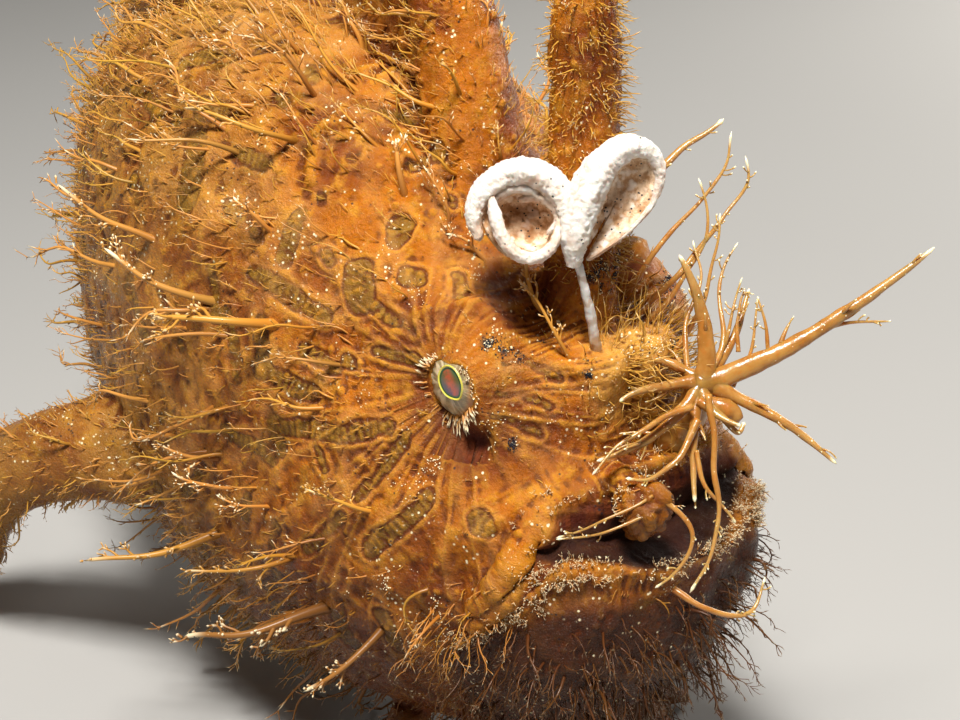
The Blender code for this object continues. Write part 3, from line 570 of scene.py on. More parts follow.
def fin_shell(rays, scallop, base, edge, ridge, webs=8, steps=40):
    """A fin of curved rays, each (root, handle, tip), ridged along its rays, with a web that stops short of the tips."""
    lines = np.array([arc(*ray, 60) for ray in rays])
    columns = (len(rays) - 1) * webs + 1
    at = np.linspace(0, len(rays) - 1, columns)
    low = np.minimum(at.astype(int), len(rays) - 2)
    share = (at - low)[:, None, None]
    surface = lines[low] * (1 - share) + lines[low + 1] * share
    between = np.sin(math.pi * (at % 1)) ** 0.8
    reach = 1 - scallop * between
    along = np.linspace(0, 1, steps)
    index = reach[:, None] * along[None] * 59
    whole = np.minimum(index.astype(int), 58)
    part = (index - whole)[..., None]
    row = np.arange(columns)[:, None]
    grid = surface[row, whole] * (1 - part) + surface[row, whole + 1] * part
    thick = base + (edge - base) * along[None] + ridge * (1 - between)[:, None] * (1 - 0.6 * along[None])
    return sheet_shell(grid, thick / 2)


def back_at(x, sink):
    return np.array((x, 0.0, sizes_at(x)[0] - sink))


def dorsal_rays():
    lengths = (11, 14, 16, 17.5, 18, 18, 18, 17.5, 16.5, 15, 12.5, 9.5)
    rays = []
    for i, length in enumerate(lengths):
        share = i / (len(lengths) - 1)
        root = back_at(-27.0 - 37.0 * share, 2.5)
        lean = math.radians(62 - 22 * share)
        tip = root + np.array((-math.cos(lean), 0, math.sin(lean))) * (length + 2.0)
        rays.append((root, (root + tip) / 2 + (1.2, 0, 0.6), tip))
    return rays


def anal_rays():
    lengths = (9, 12, 14, 15, 14.5, 12.5, 9)
    rays = []
    for i, length in enumerate(lengths):
        share = i / (len(lengths) - 1)
        x = -53.0 - 13.0 * share
        root = np.array((x, 0, sizes_at(x)[1] + 2.5))
        lean = math.radians(62 - 24 * share)
        tip = root + np.array((-math.cos(lean), 0, -math.sin(lean))) * (length + 2.0)
        rays.append((root, (root + tip) / 2 + (1.0, 0, -0.8), tip))
    return rays


def caudal_rays():
    rays = []
    for share in np.linspace(-1, 1, 9):
        root = np.array((-73.0, 0, -0.8 + 6.2 * share))
        angle = math.radians(34) * share
        tip = root + np.array((-math.cos(angle), 0, math.sin(angle))) * (27 - 4 * share**2)
        rays.append((root, (root + tip) / 2 + (0, 0, 1.5 * share), tip))
    return rays


def foot_rays(ankle, heading, spread, count, length, width, thick):
    """A fan of rays from a limb's end down to the floor."""
    rays = []
    for share in np.linspace(-1, 1, count):
        turn = heading + spread * share
        way = np.array((math.cos(turn), math.copysign(1, ankle[1]) * math.sin(turn), 0))
        root = np.array(ankle) + way * width * 0.3
        tip = np.array(ankle) + way * length * (1 - 0.18 * abs(share))
        tip[2] = FLOOR + thick * 0.5
        handle = (root + tip) / 2
        handle[2] = FLOOR + thick * 0.8
        rays.append((root, handle, tip))
    return rays


def limb_shells(sign):
    """One side's arm, hand and pelvic fin."""
    shoulder, elbow, wrist = [(x, y * sign, z) for x, y, z in ((-32, 10.5, -18), (-46.5, 24.5, -17.5), (-48.5, 23.5, -33.5))]
    path = arc(shoulder, elbow, wrist, 40)
    radii = np.interp(np.linspace(0, 8, 40), range(9), [6.0, 5.4, 4.8, 4.4, 4.1, 3.8, 3.5, 3.0, 2.4]) - SKIN_DEPTH
    ankle = (wrist[0], wrist[1], -32.0)
    hand = foot_rays(ankle, math.radians(128), math.radians(62), 10, 13.6, 5.0, 1.0)
    sole = foot_rays((-7.5, 7.4 * sign, -31.5), math.radians(62), math.radians(52), 5, 12.0, 4.0, 1.2)
    return [
        shell(tube_grid(path, radii, 20)),
        fin_shell(hand, 0.22, 1.9, 0.75, 0.7),
        fin_shell(sole, 0.20, 2.6, 0.9, 0.9),
    ]


def collar_axis(sign):
    """The middle of the opening in the skin, behind and below the pupil."""
    return unit(np.array((0.064, 0.996 * sign, -0.067)))


def open_eyes(points, edges):
    """Draws the skin in under the front of each eye, closing it round a ragged opening, and evens it out there."""
    for sign in SIDES.values():
        centre = np.array((EYE_CENTRE[0], EYE_CENTRE[1] * sign, EYE_CENTRE[2]))
        away = points - centre
        reach = np.linalg.norm(away, axis=-1)
        way = unit(away)
        lean = np.arccos(np.clip(way @ collar_axis(sign), -1, 1)) + 0.10 * noise(way * (1, sign, 1), 0.42, 43)
        wanted = np.interp(lean - COLLAR_LEAN, (-0.70, -0.14, 0, 0.25, 1.4), (2.5, 2.65, 3.27, 3.42, 3.6))
        beyond = np.clip((lean - COLLAR_LEAN) / 0.45, 0, 1)
        moved = wanted + np.maximum(reach - wanted, 0) * beyond
        near = (reach < EYE_RADIUS + 3.0) & (lean < 2.0)
        share = np.where(near, np.clip((2.0 - lean) / 0.5, 0, 1), 0)
        points = centre + way * (reach + (moved - reach) * share)[:, None]
        even = laplacian(points, edges, 10, 0.5)
        share = np.where(near, np.clip((lean - COLLAR_LEAN - 0.2) / 0.3, 0, 1), 0)[:, None]
        points = points + (even - points) * share
    return points


def spine_shells():
    """The second and third spines of the back, the third with the skin that joins it to the nape."""
    second = arc((1.6, 0, -1.5), (2.0, 0, 14.0), (1.6, 0, 29.4), 40)
    third = arc((-9.0, 0, 9.0), (-11.5, 0, 26.0), (-22.0, 0, 33.4), 40)
    second_radii = np.interp(np.linspace(0, 7, 40), range(8), [3.2, 3.4, 3.3, 3.2, 3.1, 3.0, 2.6, 1.1]) - SKIN_DEPTH
    third_radii = np.linspace(4.8, 1.6, 40) - SKIN_DEPTH
    web = [(p, (p + back_at(x, 2.0)) / 2, back_at(x, 2.0)) for p, x in zip(third[[5, 16, 27, 38]], (-16, -19, -22, -25))]
    return [
        shell(tube_grid(second, np.maximum(second_radii, 0.4), 20)),
        shell(tube_grid(third, third_radii, 20)),
        fin_shell(web, 0.0, 2.2, 2.0, 0.0),
    ]


def laplacian(points, edges, steps, share):
    """The points evened out along the mesh's edges."""
    count = np.bincount(edges.ravel(), minlength=len(points))[:, None]
    for _ in range(steps):
        total = np.zeros_like(points)
        for axis in range(3):
            total[:, axis] = np.bincount(edges[:, 0], points[edges[:, 1], axis], len(points))
            total[:, axis] += np.bincount(edges[:, 1], points[edges[:, 0], axis], len(points))
        points = points + (total / np.maximum(count, 1) - points) * share
    return points


def edges_of(mesh):
    found = np.empty(len(mesh.edges) * 2, np.int64)
    mesh.edges.foreach_get("vertices", found)
    return found.reshape(-1, 2)


def is_fine(place):
    return place.x > FINE_FROM[0] and place.z > FINE_FROM[1] and place.y < FINE_TO_Y


def whole_skin():
    """One closed skin round body, fins and limbs, before its fine relief."""
    body, mouth = body_shell(), mouth_cutter()
    cut = body.modifiers.new("mouth", "BOOLEAN")
    cut.operation = "DIFFERENCE"
    cut.object = mouth
    applied(body)
    bpy.data.objects.remove(mouth)
    loops = [list(p.vertices) for p in body.data.polygons]
    shells = [
        (points_of(body.data), loops),
        lip_shell(upper_edge, 0.7, 0.75),
        lip_shell(lower_edge, -0.7, 0.75),
        premaxilla_shell(),
        *[ball_shell(centre, radius) for centre, radius in KNOBS],
        fin_shell(dorsal_rays(), 0.14, 1.6, 0.8, 0.7),
        fin_shell(anal_rays(), 0.14, 1.6, 0.8, 0.6),
        fin_shell(caudal_rays(), 0.11, 1.6, 0.8, 0.7),
        *spine_shells(),
        *limb_shells(-1),
        *limb_shells(1),
    ]
    bpy.data.objects.remove(body)
    skin = object_of(mesh_from("skin", *joined(shells)), "skin")
    remesh = skin.modifiers.new("one_skin", "REMESH")
    remesh.mode = "VOXEL"
    remesh.voxel_size = VOXEL
    applied(skin)
    points = laplacian(points_of(skin.data), edges_of(skin.data), 4, 0.5)
    points[:, 2] = np.maximum(points[:, 2], FLOOR)
    set_points(skin.data, points)
    bm = bmesh.new()
    bm.from_mesh(skin.data)
    fine = [e for e in bm.edges if all(is_fine(v.co) for v in e.verts)]
    bmesh.ops.subdivide_edges(bm, edges=fine, cuts=1, use_grid_fill=True)
    bm.to_mesh(skin.data)
    bm.free()
    edges = edges_of(skin.data)
    set_points(skin.data, open_eyes(laplacian(points_of(skin.data), edges, 2, 0.5), edges))
    return skin


def caster(mesh):
    """Finds the skin's point behind a point of the view."""
    tree = BVHTree.FromPolygons([Vector(p) for p in points_of(mesh)], [tuple(p.vertices) for p in mesh.polygons])

    def on_skin(right, up):
        way = unit(from_view(right, up, 0.0) - CAMERA_AT)
        hit = tree.ray_cast(Vector(CAMERA_AT), Vector(way))
        if hit[0] is None:
            hit = tree.find_nearest(Vector(from_view(right, up, -6.0)))
        return np.array(hit[0]), np.array(hit[1])

    return on_skin


def segment_gap(points, start, end):
    """Distance from each point to the line between two others, and how far along it the nearest place is."""
    run = end - start
    t = np.clip(((points - start) @ run) / max(run @ run, 1e-9), 0, 1)
    return np.linalg.norm(points - start - t[:, None] * run, axis=-1), t


def line_field(points, lines):
    """Signed distance to the nearest of some rounded lines, each (points, first and last half width),
    and the run along it."""
    best = np.full(len(points), 3.0)
    along = np.zeros(len(points))
    for path, first, last in lines:
        path = np.array(path)
        steps = np.linalg.norm(np.diff(path, axis=0), axis=1)
        total, before = steps.sum(), 0.0
        reach = total / 2 + max(first, last) + 2.0
        close = np.flatnonzero(np.linalg.norm(points - path.mean(axis=0), axis=-1) < reach)
        for start, end, step in zip(path, path[1:], steps):
            gap, t = segment_gap(points[close], start, end)
            run = before + t * step
            signed = gap - (first + (last - first) * run / max(total, 1e-9))
            nearer = signed < best[close]
            best[close[nearer]] = signed[nearer]
            along[close[nearer]] = run[nearer]
            before += step
    return best, along


def near_side(points):
    """The same points on the right side, which the view shows; the left side mirrors it."""
    return points * (1, 0, 1) - np.abs(points) * (0, 1, 0)


def eye_polar(points):
    """Distance from the near eye and the angle round it, as seen from the side."""
    p = near_side(points)
    away = p - (EYE_CENTRE[0], -EYE_CENTRE[1] - 2.0, EYE_CENTRE[2])
    return np.linalg.norm(away, axis=-1), np.arctan2(away[:, 2], -away[:, 0])


def eye_lean(near):
    """The angle from the near eye's axis, and a large one away from the eye."""
    away = near - (EYE_CENTRE[0], -EYE_CENTRE[1], EYE_CENTRE[2])
    reach = np.linalg.norm(away, axis=-1)
    lean = np.arccos(np.clip(away @ collar_axis(-1) / reach, -1, 1)) + 0.10 * noise(unit(away) * (1, -1, 1), 0.42, 43)
    return np.where(reach < EYE_RADIUS + 0.5, lean, math.pi)


def seeded_bars(rng, taken):
    """Bars over the rest of the body, running away from the eye, clear of the ones that the view shows."""
    made = []
    centres = [np.array(path).mean(axis=0) for path, _, _ in taken]
    while len(made) < SEEDED_BARS:
        x = rng.uniform(-73, -2)
        start = section(np.array(x), np.array(-rng.uniform(0.05, 3.0)))
        length, width = rng.uniform(0.6, 6.0), rng.uniform(0.45, 1.05)
        away = unit(start - (EYE_CENTRE[0], -EYE_CENTRE[1], EYE_CENTRE[2])) + rng.normal(0, 0.25, 3)
        path = [start]
        for _ in range(3):
            ahead = path[-1] + unit(away) * length / 3
            ahead[0] = max(ahead[0], -75.0)
            top, bottom, half, middle = sizes_at(ahead[0])
            angle = math.atan2(ahead[1] / half, (ahead[2] - middle) / (top - middle if ahead[2] > middle else middle - bottom))
            path.append(section(ahead[0], np.array(min(angle, -0.02))))
        centre = np.mean(path, axis=0)
        room = length / 2 + width + 1.0
        if start[0] > -6 and start[2] > -12:
            continue
        if all(np.linalg.norm(centre - other) > room + 0.8 for other in centres):
            centres.append(centre)
            made.append((path, width, width * rng.uniform(0.7, 1.2)))
        elif rng.random() < 0.02:
            made.append((path, 0.3, 0.3))
            centres.append(centre)
    return made


class Markings:
    """Where the bars, folds and hollows lie, read off for any point of the skin."""

    def __init__(self, on_skin):
        rng = np.random.default_rng(5)
        self.bars = [([on_skin(*p)[0] for p in path], first, last) for path, first, last in BARS]
        self.bars += seeded_bars(rng, self.bars)
        self.folds = [([on_skin(*p)[0] for p in path], width, width) for path, width, _ in FOLDS]
        self.fold_heights = [height for _, _, height in FOLDS]
        self.hollows = [(on_skin(*at)[0], reach, depth) for at, reach, depth in HOLLOWS]
        self.patches = [(on_skin(*at)[0], reach) for at, reach in DARK_PATCHES]

    def read(self, points):
        """Attributes of the markings, and of the painted shade under the body, in the hollows and in the mouth, at
        these points of the straight fish, by name.
        """
        p = near_side(points)
        wobble = 0.30 * np.stack([noise(points, 1.8, 11), noise(points, 1.8, 12), noise(points, 1.8, 13)], -1)
        wobble += 0.16 * np.stack([noise(points, 0.7, 14), noise(points, 0.7, 15), noise(points, 0.7, 16)], -1)
        bar, run = line_field(p + wobble, self.bars)
        hollow_shade = np.zeros(len(p))
        for centre, reach, depth in self.hollows:
            hollow_shade = np.maximum(hollow_shade, np.exp(-((np.linalg.norm(p - centre, axis=-1) / reach) ** 2)))
        inside = self.in_mouth(points)
        dark = np.zeros(len(p))
        for centre, reach in self.patches:
            dark = np.maximum(dark, np.clip(1.4 - np.linalg.norm(p - centre, axis=-1) / reach, 0, 1))
        # Painted shade: the skin darkens under the body, on the chin and lower lip, and on the knob of the upper lip.
        painted_shade = 0.7 * np.clip((-9.0 - points[:, 2]) / 15.0, 0, 1) * np.clip((points[:, 0] + 40.0) / 30.0, 0.4, 1)
        front = np.clip((points[:, 0] + 2.0) / 4.0, 0, 1)
        painted_shade = np.maximum(painted_shade, front * np.clip((lower_edge(points[:, 1]) - 1.6 - points[:, 2]) / 2.2, 0, 1))
        to_knob = np.linalg.norm(points - KNOBS[0][0], axis=-1)
        painted_shade = np.maximum(painted_shade, 0.62 * np.clip(1.9 - to_knob / 1.3, 0, 1))
        on_lip = np.clip((lower_edge(points[:, 1]) + 0.9 - points[:, 2]) / 0.5, 0, 1)
        painted_shade = np.maximum(painted_shade, 0.36 * on_lip * front)
        # Painted shade in the face's hollows and inside the mouth.
        hollow_shade = np.clip(np.maximum(hollow_shade, inside), 0, 1)
        dome = np.clip(1.25 - np.linalg.norm((points - GOLDEN_CENTRE) / GOLDEN_REACH, axis=-1), 0, 1) * 1.6
        dome = np.clip(dome, 0, 1) * (1 - hollow_shade)
        return {
            "bar": bar, "run": run, "hollow_shade": hollow_shade, "dark": dark, "painted_shade": painted_shade, "dome": dome,
            # Painted shade deep in the throat.
            "gullet_shade": self.in_mouth(points) * np.clip((upper_edge(points[:, 1]) - 0.9 - points[:, 2]) / 0.8, 0, 1),
        }

    def in_mouth(self, points):
        """1 inside the mouth, fading over its lips."""
        upper, lower = upper_edge(points[:, 1]), lower_edge(points[:, 1])
        between = (points[:, 2] < upper + 0.5) & (points[:, 2] > lower - 0.5)
        deep = np.clip((0.965 - fullness(points)) / 0.06, 0, 1)
        return np.where(between & (points[:, 0] > -4) & (np.abs(points[:, 1]) < MOUTH_HALF), deep, 0)

    def relief(self, points, marks):
        """Height of the fine relief along the skin's normal, and how much of it is raised line."""
        p = near_side(points)
        r, turn = eye_polar(points)
        flat = np.stack([turn * 13.0, r * 0.15, points[:, 1] / 14.0], -1)
        lines = 1 - np.abs(noise(flat, 1.0, 21))
        rings = 1 - np.abs(noise(np.stack([turn * 5.0, r / 0.85, points[:, 1] / 14.0], -1), 1.0, 22))
        body = np.clip((1.16 - fullness(points)) / 0.08, 0, 1) * (points[:, 0] > -76.5)
        face = np.clip((points[:, 0] + 6.0) / 2.0, 0, 1) * np.clip((6.0 - points[:, 2]) / 1.5, 0, 1)
        spines = np.clip((points[:, 0] + 24.0) / 2.0, 0, 1) * np.clip((points[:, 2] - 8.0) / 2.0, 0, 1)
        body = np.maximum(body, face)
        soft = np.maximum(0.25 + 0.75 * body, 0.8 * spines)
        height = soft * (0.30 * noise(points, 4.6, 23) + 0.24 * noise(points, 2.1, 24) + 0.11 * noise(points, 0.95, 25))
        height += soft * 0.05 * noise(points, 0.5, 28)
        height += body * (0.13 * lines**4 + 0.06 * rings**2)
        height += soft * 0.20 * bumps(points, 1.25, 0.36, 0.35, 26)
        bar = marks["bar"]
        ribs = 0.5 + 0.5 * np.cos(marks["run"] * 2 * math.pi / RIB_STEP + 2.0 * noise(points, 1.0, 27))
        rim = np.exp(-(((bar - 0.24) / 0.20) ** 2)) * (0.55 + 0.45 * noise(points, 1.3, 29))
        groove = np.exp(-(((bar - 0.0) / 0.13) ** 2))
        height += body * (0.11 * rim - 0.07 * groove + np.where(bar < -0.05, 0.05 * ribs - 0.05, 0))
        for line, tall in zip(self.folds, self.fold_heights):
            gap, _ = line_field(p, [line])
            height += tall * np.exp(-((np.maximum(gap + line[1], 0) / line[1]) ** 2))
        for centre, reach, depth in self.hollows:
            height -= depth * np.exp(-((np.linalg.norm(p - centre, axis=-1) / reach) ** 2))
        height += 0.10 * self.lip_wrinkles(points)
        knob = np.clip(1.7 - np.linalg.norm(p - KNOBS[0][0], axis=-1) / 2.0, 0, 1)
        height += knob * (0.36 * bumps(points, 0.42, 0.25, 0.9, 33) + 0.22 * noise(points, 0.8, 34))
        from_eye = np.linalg.norm(p - (EYE_CENTRE[0], -EYE_CENTRE[1], EYE_CENTRE[2]), axis=-1)
        height *= np.clip((from_eye - EYE_RADIUS - 0.1) / 1.3, 0.2, 1)
        height = np.where(eye_lean(p) < COLLAR_LEAN - 0.04, -0.12, height)
        raised = np.clip(body * (0.45 * lines**6 + 0.55 * rim * (bar > 0.05)), 0, 1)
        return height, raised

    def lip_wrinkles(self, points):
        near_lip = np.exp(-(((points[:, 2] - upper_edge(points[:, 1]) - 1.0) / 1.6) ** 2))
        near_lip += np.exp(-(((points[:, 2] - lower_edge(points[:, 1]) + 1.2) / 1.6) ** 2))
        folds = 1 - np.abs(noise(np.stack([points[:, 1] / 0.55, points[:, 2] / 3.0, points[:, 0] / 3.0], -1), 1.0, 31))
        return np.where((points[:, 0] > -2) & (np.abs(points[:, 1]) < MOUTH_HALF + 1), near_lip * folds * 2 - near_lip, 0)


def cavity_of(points, normals, edges):
    """1 in creases, 0 on ridges, from how far each point's neighbours stand along its normal."""
    step = points[edges[:, 1]] - points[edges[:, 0]]
    size = np.linalg.norm(step, axis=-1)
    rise = np.einsum("ij,ij->i", step, normals[edges[:, 0]] - 0) / size
    back = -np.einsum("ij,ij->i", step, normals[edges[:, 1]]) / size
    total = np.bincount(edges[:, 0], rise, len(points)) + np.bincount(edges[:, 1], back, len(points))
    count = np.bincount(edges.ravel(), minlength=len(points))
    values = total / np.maximum(count, 1)
    for _ in range(2):
        summed = np.bincount(edges[:, 0], values[edges[:, 1]], len(points))
        summed += np.bincount(edges[:, 1], values[edges[:, 0]], len(points))
        values = (values + summed / np.maximum(count, 1)) / 2
    return np.clip(0.5 + values * 4.0, 0, 1)


# Materials


class Maker:
    """Adds shader nodes to one material's tree."""

    def __init__(self, name):
        self.material = bpy.data.materials.new(name)
        self.material.use_nodes = True
        self.tree = self.material.node_tree
        self.shader = self.tree.nodes["Principled BSDF"]

    def node(self, kind, **settings):
        made = self.tree.nodes.new(kind)
        for key, value in settings.items():
            setattr(made, key, value)
        return made

    def link(self, source, socket):
        if hasattr(source, "is_output"):
            self.tree.links.new(source, socket)
        elif isinstance(source, tuple) and len(source) == 3 and socket.type == "RGBA":
            socket.default_value = (*source, 1.0)
        else:
            socket.default_value = source

    def attribute(self, name, field="Fac"):
        return self.node("ShaderNodeAttribute", attribute_name=name).outputs[field]

    def math(self, operation, a, b=0.0, clamp=False):
        made = self.node("ShaderNodeMath", operation=operation, use_clamp=clamp)
        self.link(a, made.inputs[0])
        self.link(b, made.inputs[1])
        return made.outputs[0]

    def step(self, value, low, high, to_low=0.0, to_high=1.0):
        """Goes smoothly from one number to another as the value goes from low to high."""
        made = self.node("ShaderNodeMapRange", interpolation_type="SMOOTHSTEP")
        for socket, given in zip(made.inputs, (value, low, high, to_low, to_high)):
            self.link(given, socket)
        return made.outputs[0]

    def mix(self, share, a, b, blend="MIX"):
        made = self.node("ShaderNodeMix", data_type="RGBA", blend_type=blend)
        self.link(share, made.inputs[0])
        self.link(a, made.inputs[6])
        self.link(b, made.inputs[7])
        return made.outputs[2]

    def noise(self, vector, size, detail=3.0, roughness=0.55):
        made = self.node("ShaderNodeTexNoise")
        self.link(vector, made.inputs["Vector"])
        made.inputs["Scale"].default_value = 1.0 / size
        made.inputs["Detail"].default_value = detail
        made.inputs["Roughness"].default_value = roughness
        return made.outputs[0]

    def cells(self, vector, size, feature="F1"):
        made = self.node("ShaderNodeTexVoronoi", feature=feature)
        self.link(vector, made.inputs["Vector"])
        made.inputs["Scale"].default_value = 1.0 / size
        return made.outputs["Distance"]

    def bump(self, height, distance, strength=1.0):
        made = self.node("ShaderNodeBump")
        made.inputs["Strength"].default_value = strength
        made.inputs["Distance"].default_value = distance
        self.link(height, made.inputs["Height"])
        self.link(made.outputs[0], self.shader.inputs["Normal"])

    def finish(self, colour, roughness, **fixed):
        self.link(colour, self.shader.inputs["Base Color"])
        self.link(roughness, self.shader.inputs["Roughness"])
        for name, value in fixed.items():
            self.shader.inputs[name.replace("_", " ")].default_value = value
        return self.material


def marking_colour(m):
    """The skin's colours, with the painted shade under the body and chin, shared by the skin and the coat that grows on
    it.
    """
    rest = m.attribute("rest", "Vector")
    bar, run = m.attribute("bar"), m.attribute("run")
    large = m.noise(rest, 5.0, 3.0)
    medium = m.noise(rest, 1.5, 4.0, 0.65)
    colour = m.mix(m.step(large, 0.34, 0.60), ORANGE_DEEP, ORANGE)
    colour = m.mix(m.step(medium, 0.48, 0.74), colour, ORANGE_PALE)
    split = m.node("ShaderNodeSeparateXYZ")
    m.link(rest, split.inputs[0])
    behind = m.step(split.outputs[0], -8.0, -34.0)
    tan = m.math("MULTIPLY", behind, m.step(large, 0.36, 0.60, 0.20, 0.62))
    colour = m.mix(tan, colour, TAN)
    ribs = m.math("SINE", m.math("MULTIPLY", run, 2 * math.pi / RIB_STEP))
    olive = m.mix(m.step(m.math("ADD", ribs, m.math("MULTIPLY", medium, 1.2)), 0.0, 1.7), OLIVE_DARK, OLIVE)
    inside = m.step(bar, 0.02, -0.16)
    colour = m.mix(m.math("MULTIPLY", inside, 0.85), colour, olive)
    outline = m.math("MULTIPLY", m.step(bar, -0.14, -0.02), m.step(bar, 0.12, 0.02))
    colour = m.mix(m.math("MULTIPLY", outline, m.step(medium, 0.40, 0.58, 0.15, 0.85)), colour, LINE_DARK)
    colour = m.mix(m.math("MULTIPLY", m.attribute("dome"), m.step(medium, 0.30, 0.60, 0.45, 0.95)), colour, DOME_GOLD)
    # Painted shade under the body and chin, towards the shade brown.
    colour = m.mix(m.math("MULTIPLY", m.attribute("painted_shade"), 0.95), colour, SHADE_BROWN)
    return rest, colour, medium


def speckled(m, rest, colour):
    """White specks, which are painted glints, and blue-black specks, in drifts."""
    drift = m.noise(rest, 3.0, 3.0, 0.6)
    white = m.math("MULTIPLY", m.step(m.cells(rest, 0.50), 0.24, 0.14), m.step(drift, 0.54, 0.60))
    # The white specks are painted glints.
    colour = m.mix(white, colour, PALE_TIPS_AND_GLINTS)
    other = m.noise(rest, 2.2, 3.0, 0.6)
    black = m.math("MULTIPLY", m.step(m.cells(rest, 0.42), 0.26, 0.16), m.step(other, 0.57, 0.62))
    return m.mix(m.math("MULTIPLY", black, 0.85), colour, BLUE_BLACK)


def skin_material():
    m = Maker("skin")
    rest, colour, medium = marking_colour(m)
    crease = m.attribute("cavity")
    # Where the painted shade lies, the pink lines and pale ridges fade.
    lit = m.step(m.attribute("painted_shade"), 0.05, 0.75, 1.0, 0.08)
    # Painted shade in the creases.
    colour = m.mix(m.step(crease, 0.52, 0.76, 0.0, 0.85), colour, m.mix(0.5, ORANGE_DEEP, SHADE_BROWN))
    colour = m.mix(m.math("MULTIPLY", m.math("MULTIPLY", m.attribute("raised"), 0.60), lit), colour, PINK_LINE)
    # Painted highlight: the ridges are paler.
    colour = m.mix(m.math("MULTIPLY", m.step(crease, 0.44, 0.20, 0.0, 0.55), lit), colour, ORANGE_PALE)
    stripes = m.step(m.noise(m.attribute("palate", "Vector"), 1.0, 1.0), 0.46, 0.56)
    # Painted shade inside the mouth: dark red in the hollows over the band's own stripes, near black deep in the
    # throat.
    mouth = m.mix(m.math("MULTIPLY", stripes, 0.45), RED_HOLLOW_SHADE, ORANGE_DEEP)
    mouth = m.mix(m.attribute("gullet_shade"), mouth, THROAT_SHADE)
    colour = m.mix(m.math("MULTIPLY", m.attribute("hollow_shade"), 0.94), colour, mouth)
    colour = speckled(m, rest, colour)
    blotch = m.step(m.noise(rest, 0.55, 4.0, 0.7), 0.46, 0.56)
    colour = m.mix(m.math("MULTIPLY", m.attribute("dark"), blotch), colour, BLUE_BLACK)
    fine = m.math("ADD", m.noise(rest, 0.28, 4.0, 0.75), m.math("MULTIPLY", medium, 0.8))
    m.bump(fine, 0.00026, 0.9)
    wet = m.step(m.noise(rest, 0.6, 2.0), 0.35, 0.65, 0.14, 0.36)
    wet = m.math("ADD", wet, m.math("MULTIPLY", m.attribute("hollow_shade"), 0.35))
    return m.finish(
        colour, wet, Specular_IOR_Level=0.24, Subsurface_Weight=0.12, Subsurface_Scale=0.0008,
        Subsurface_Radius=(1.0, 0.35, 0.12),
    )


def coat_material():
    m = Maker("coat")
    rest, colour, _ = marking_colour(m)
    along, tone = m.attribute("along"), m.attribute("tone")
    strand = m.mix(m.step(tone, 0.20, 0.55), GOLD, ROSE)
    # Where the painted shade lies, the strands keep the skin's painted shade instead of their own colour.
    lit = m.step(m.attribute("painted_shade"), 0.05, 0.85, 1.0, 0.09)
    colour = m.mix(m.math("MULTIPLY", m.step(along, 0.05, 0.60, 0.25, 0.72), lit), colour, strand)
    tip = m.math("MULTIPLY", m.step(along, 0.80, 0.97), m.step(tone, 0.25, 0.60, 0.30, 1.0))
    # The pale tips dim in the painted shade too.
    tip = m.math("MULTIPLY", tip, m.step(m.attribute("painted_shade"), 0.3, 0.9, 1.0, 0.35))
    # Pale filament tips, and the bright grains, whose white is a painted glint.
    colour = m.mix(tip, colour, PALE_TIPS_AND_GLINTS)
    colour = m.mix(m.step(tone, 1.3, 1.6), colour, BLUE_BLACK)
    # Painted shade at the roots of the strands in the hollows.
    hollow_shade = m.math("MULTIPLY", m.attribute("hollow_shade"), m.step(along, 0.0, 0.9, 0.9, 0.2))
    colour = m.mix(hollow_shade, colour, RED_HOLLOW_SHADE)
    return m.finish(colour, 0.30, Specular_IOR_Level=0.22, Subsurface_Weight=0.0)


def build_skin():
    skin = whole_skin()
    mesh = skin.data
    on_skin = caster(mesh)
    marks = Markings(on_skin)
    points, edges = points_of(mesh), edges_of(mesh)
    read = marks.read(points)
    height, raised = marks.relief(points, read)
    height = np.clip(height, -1.2, 1.4)
    moved = points + normals_of(mesh) * height[:, None]
    moved[:, 2] = np.maximum(moved[:, 2], FLOOR)
    set_points(mesh, moved)
    cavity = cavity_of(moved, normals_of(mesh), edges)
    set_attribute(mesh, "rest", points)
    set_attribute(mesh, "palate", points * (0.5, 2.2, 0.15))
    for name, values in {**read, "raised": raised, "cavity": cavity}.items():
        set_attribute(mesh, name, values)
    return skin, marks, on_skin


# Coat


def strand_paths(start, way_out, way_on, length, steps, sway, rng):
    """Curved paths (strand, step, 3) that leave along way_out and end along way_on."""
    t = np.linspace(0, 1, steps)[None, :, None]
    length = length[:, None]
    handle = start + way_out * length * 0.5
    tip = handle + way_on * length * 0.5
    path = start[:, None] * (1 - t) ** 2 + handle[:, None] * 2 * t * (1 - t) + tip[:, None] * t**2
    turn = unit(rng.normal(size=start.shape))
    turn = unit(np.cross(turn, way_on))
    wave = np.sin(t * rng.uniform(3, 8, len(start))[:, None, None] + rng.uniform(0, 6, len(start))[:, None, None])
    return path + turn[:, None] * wave * t * (sway * length)[:, None]


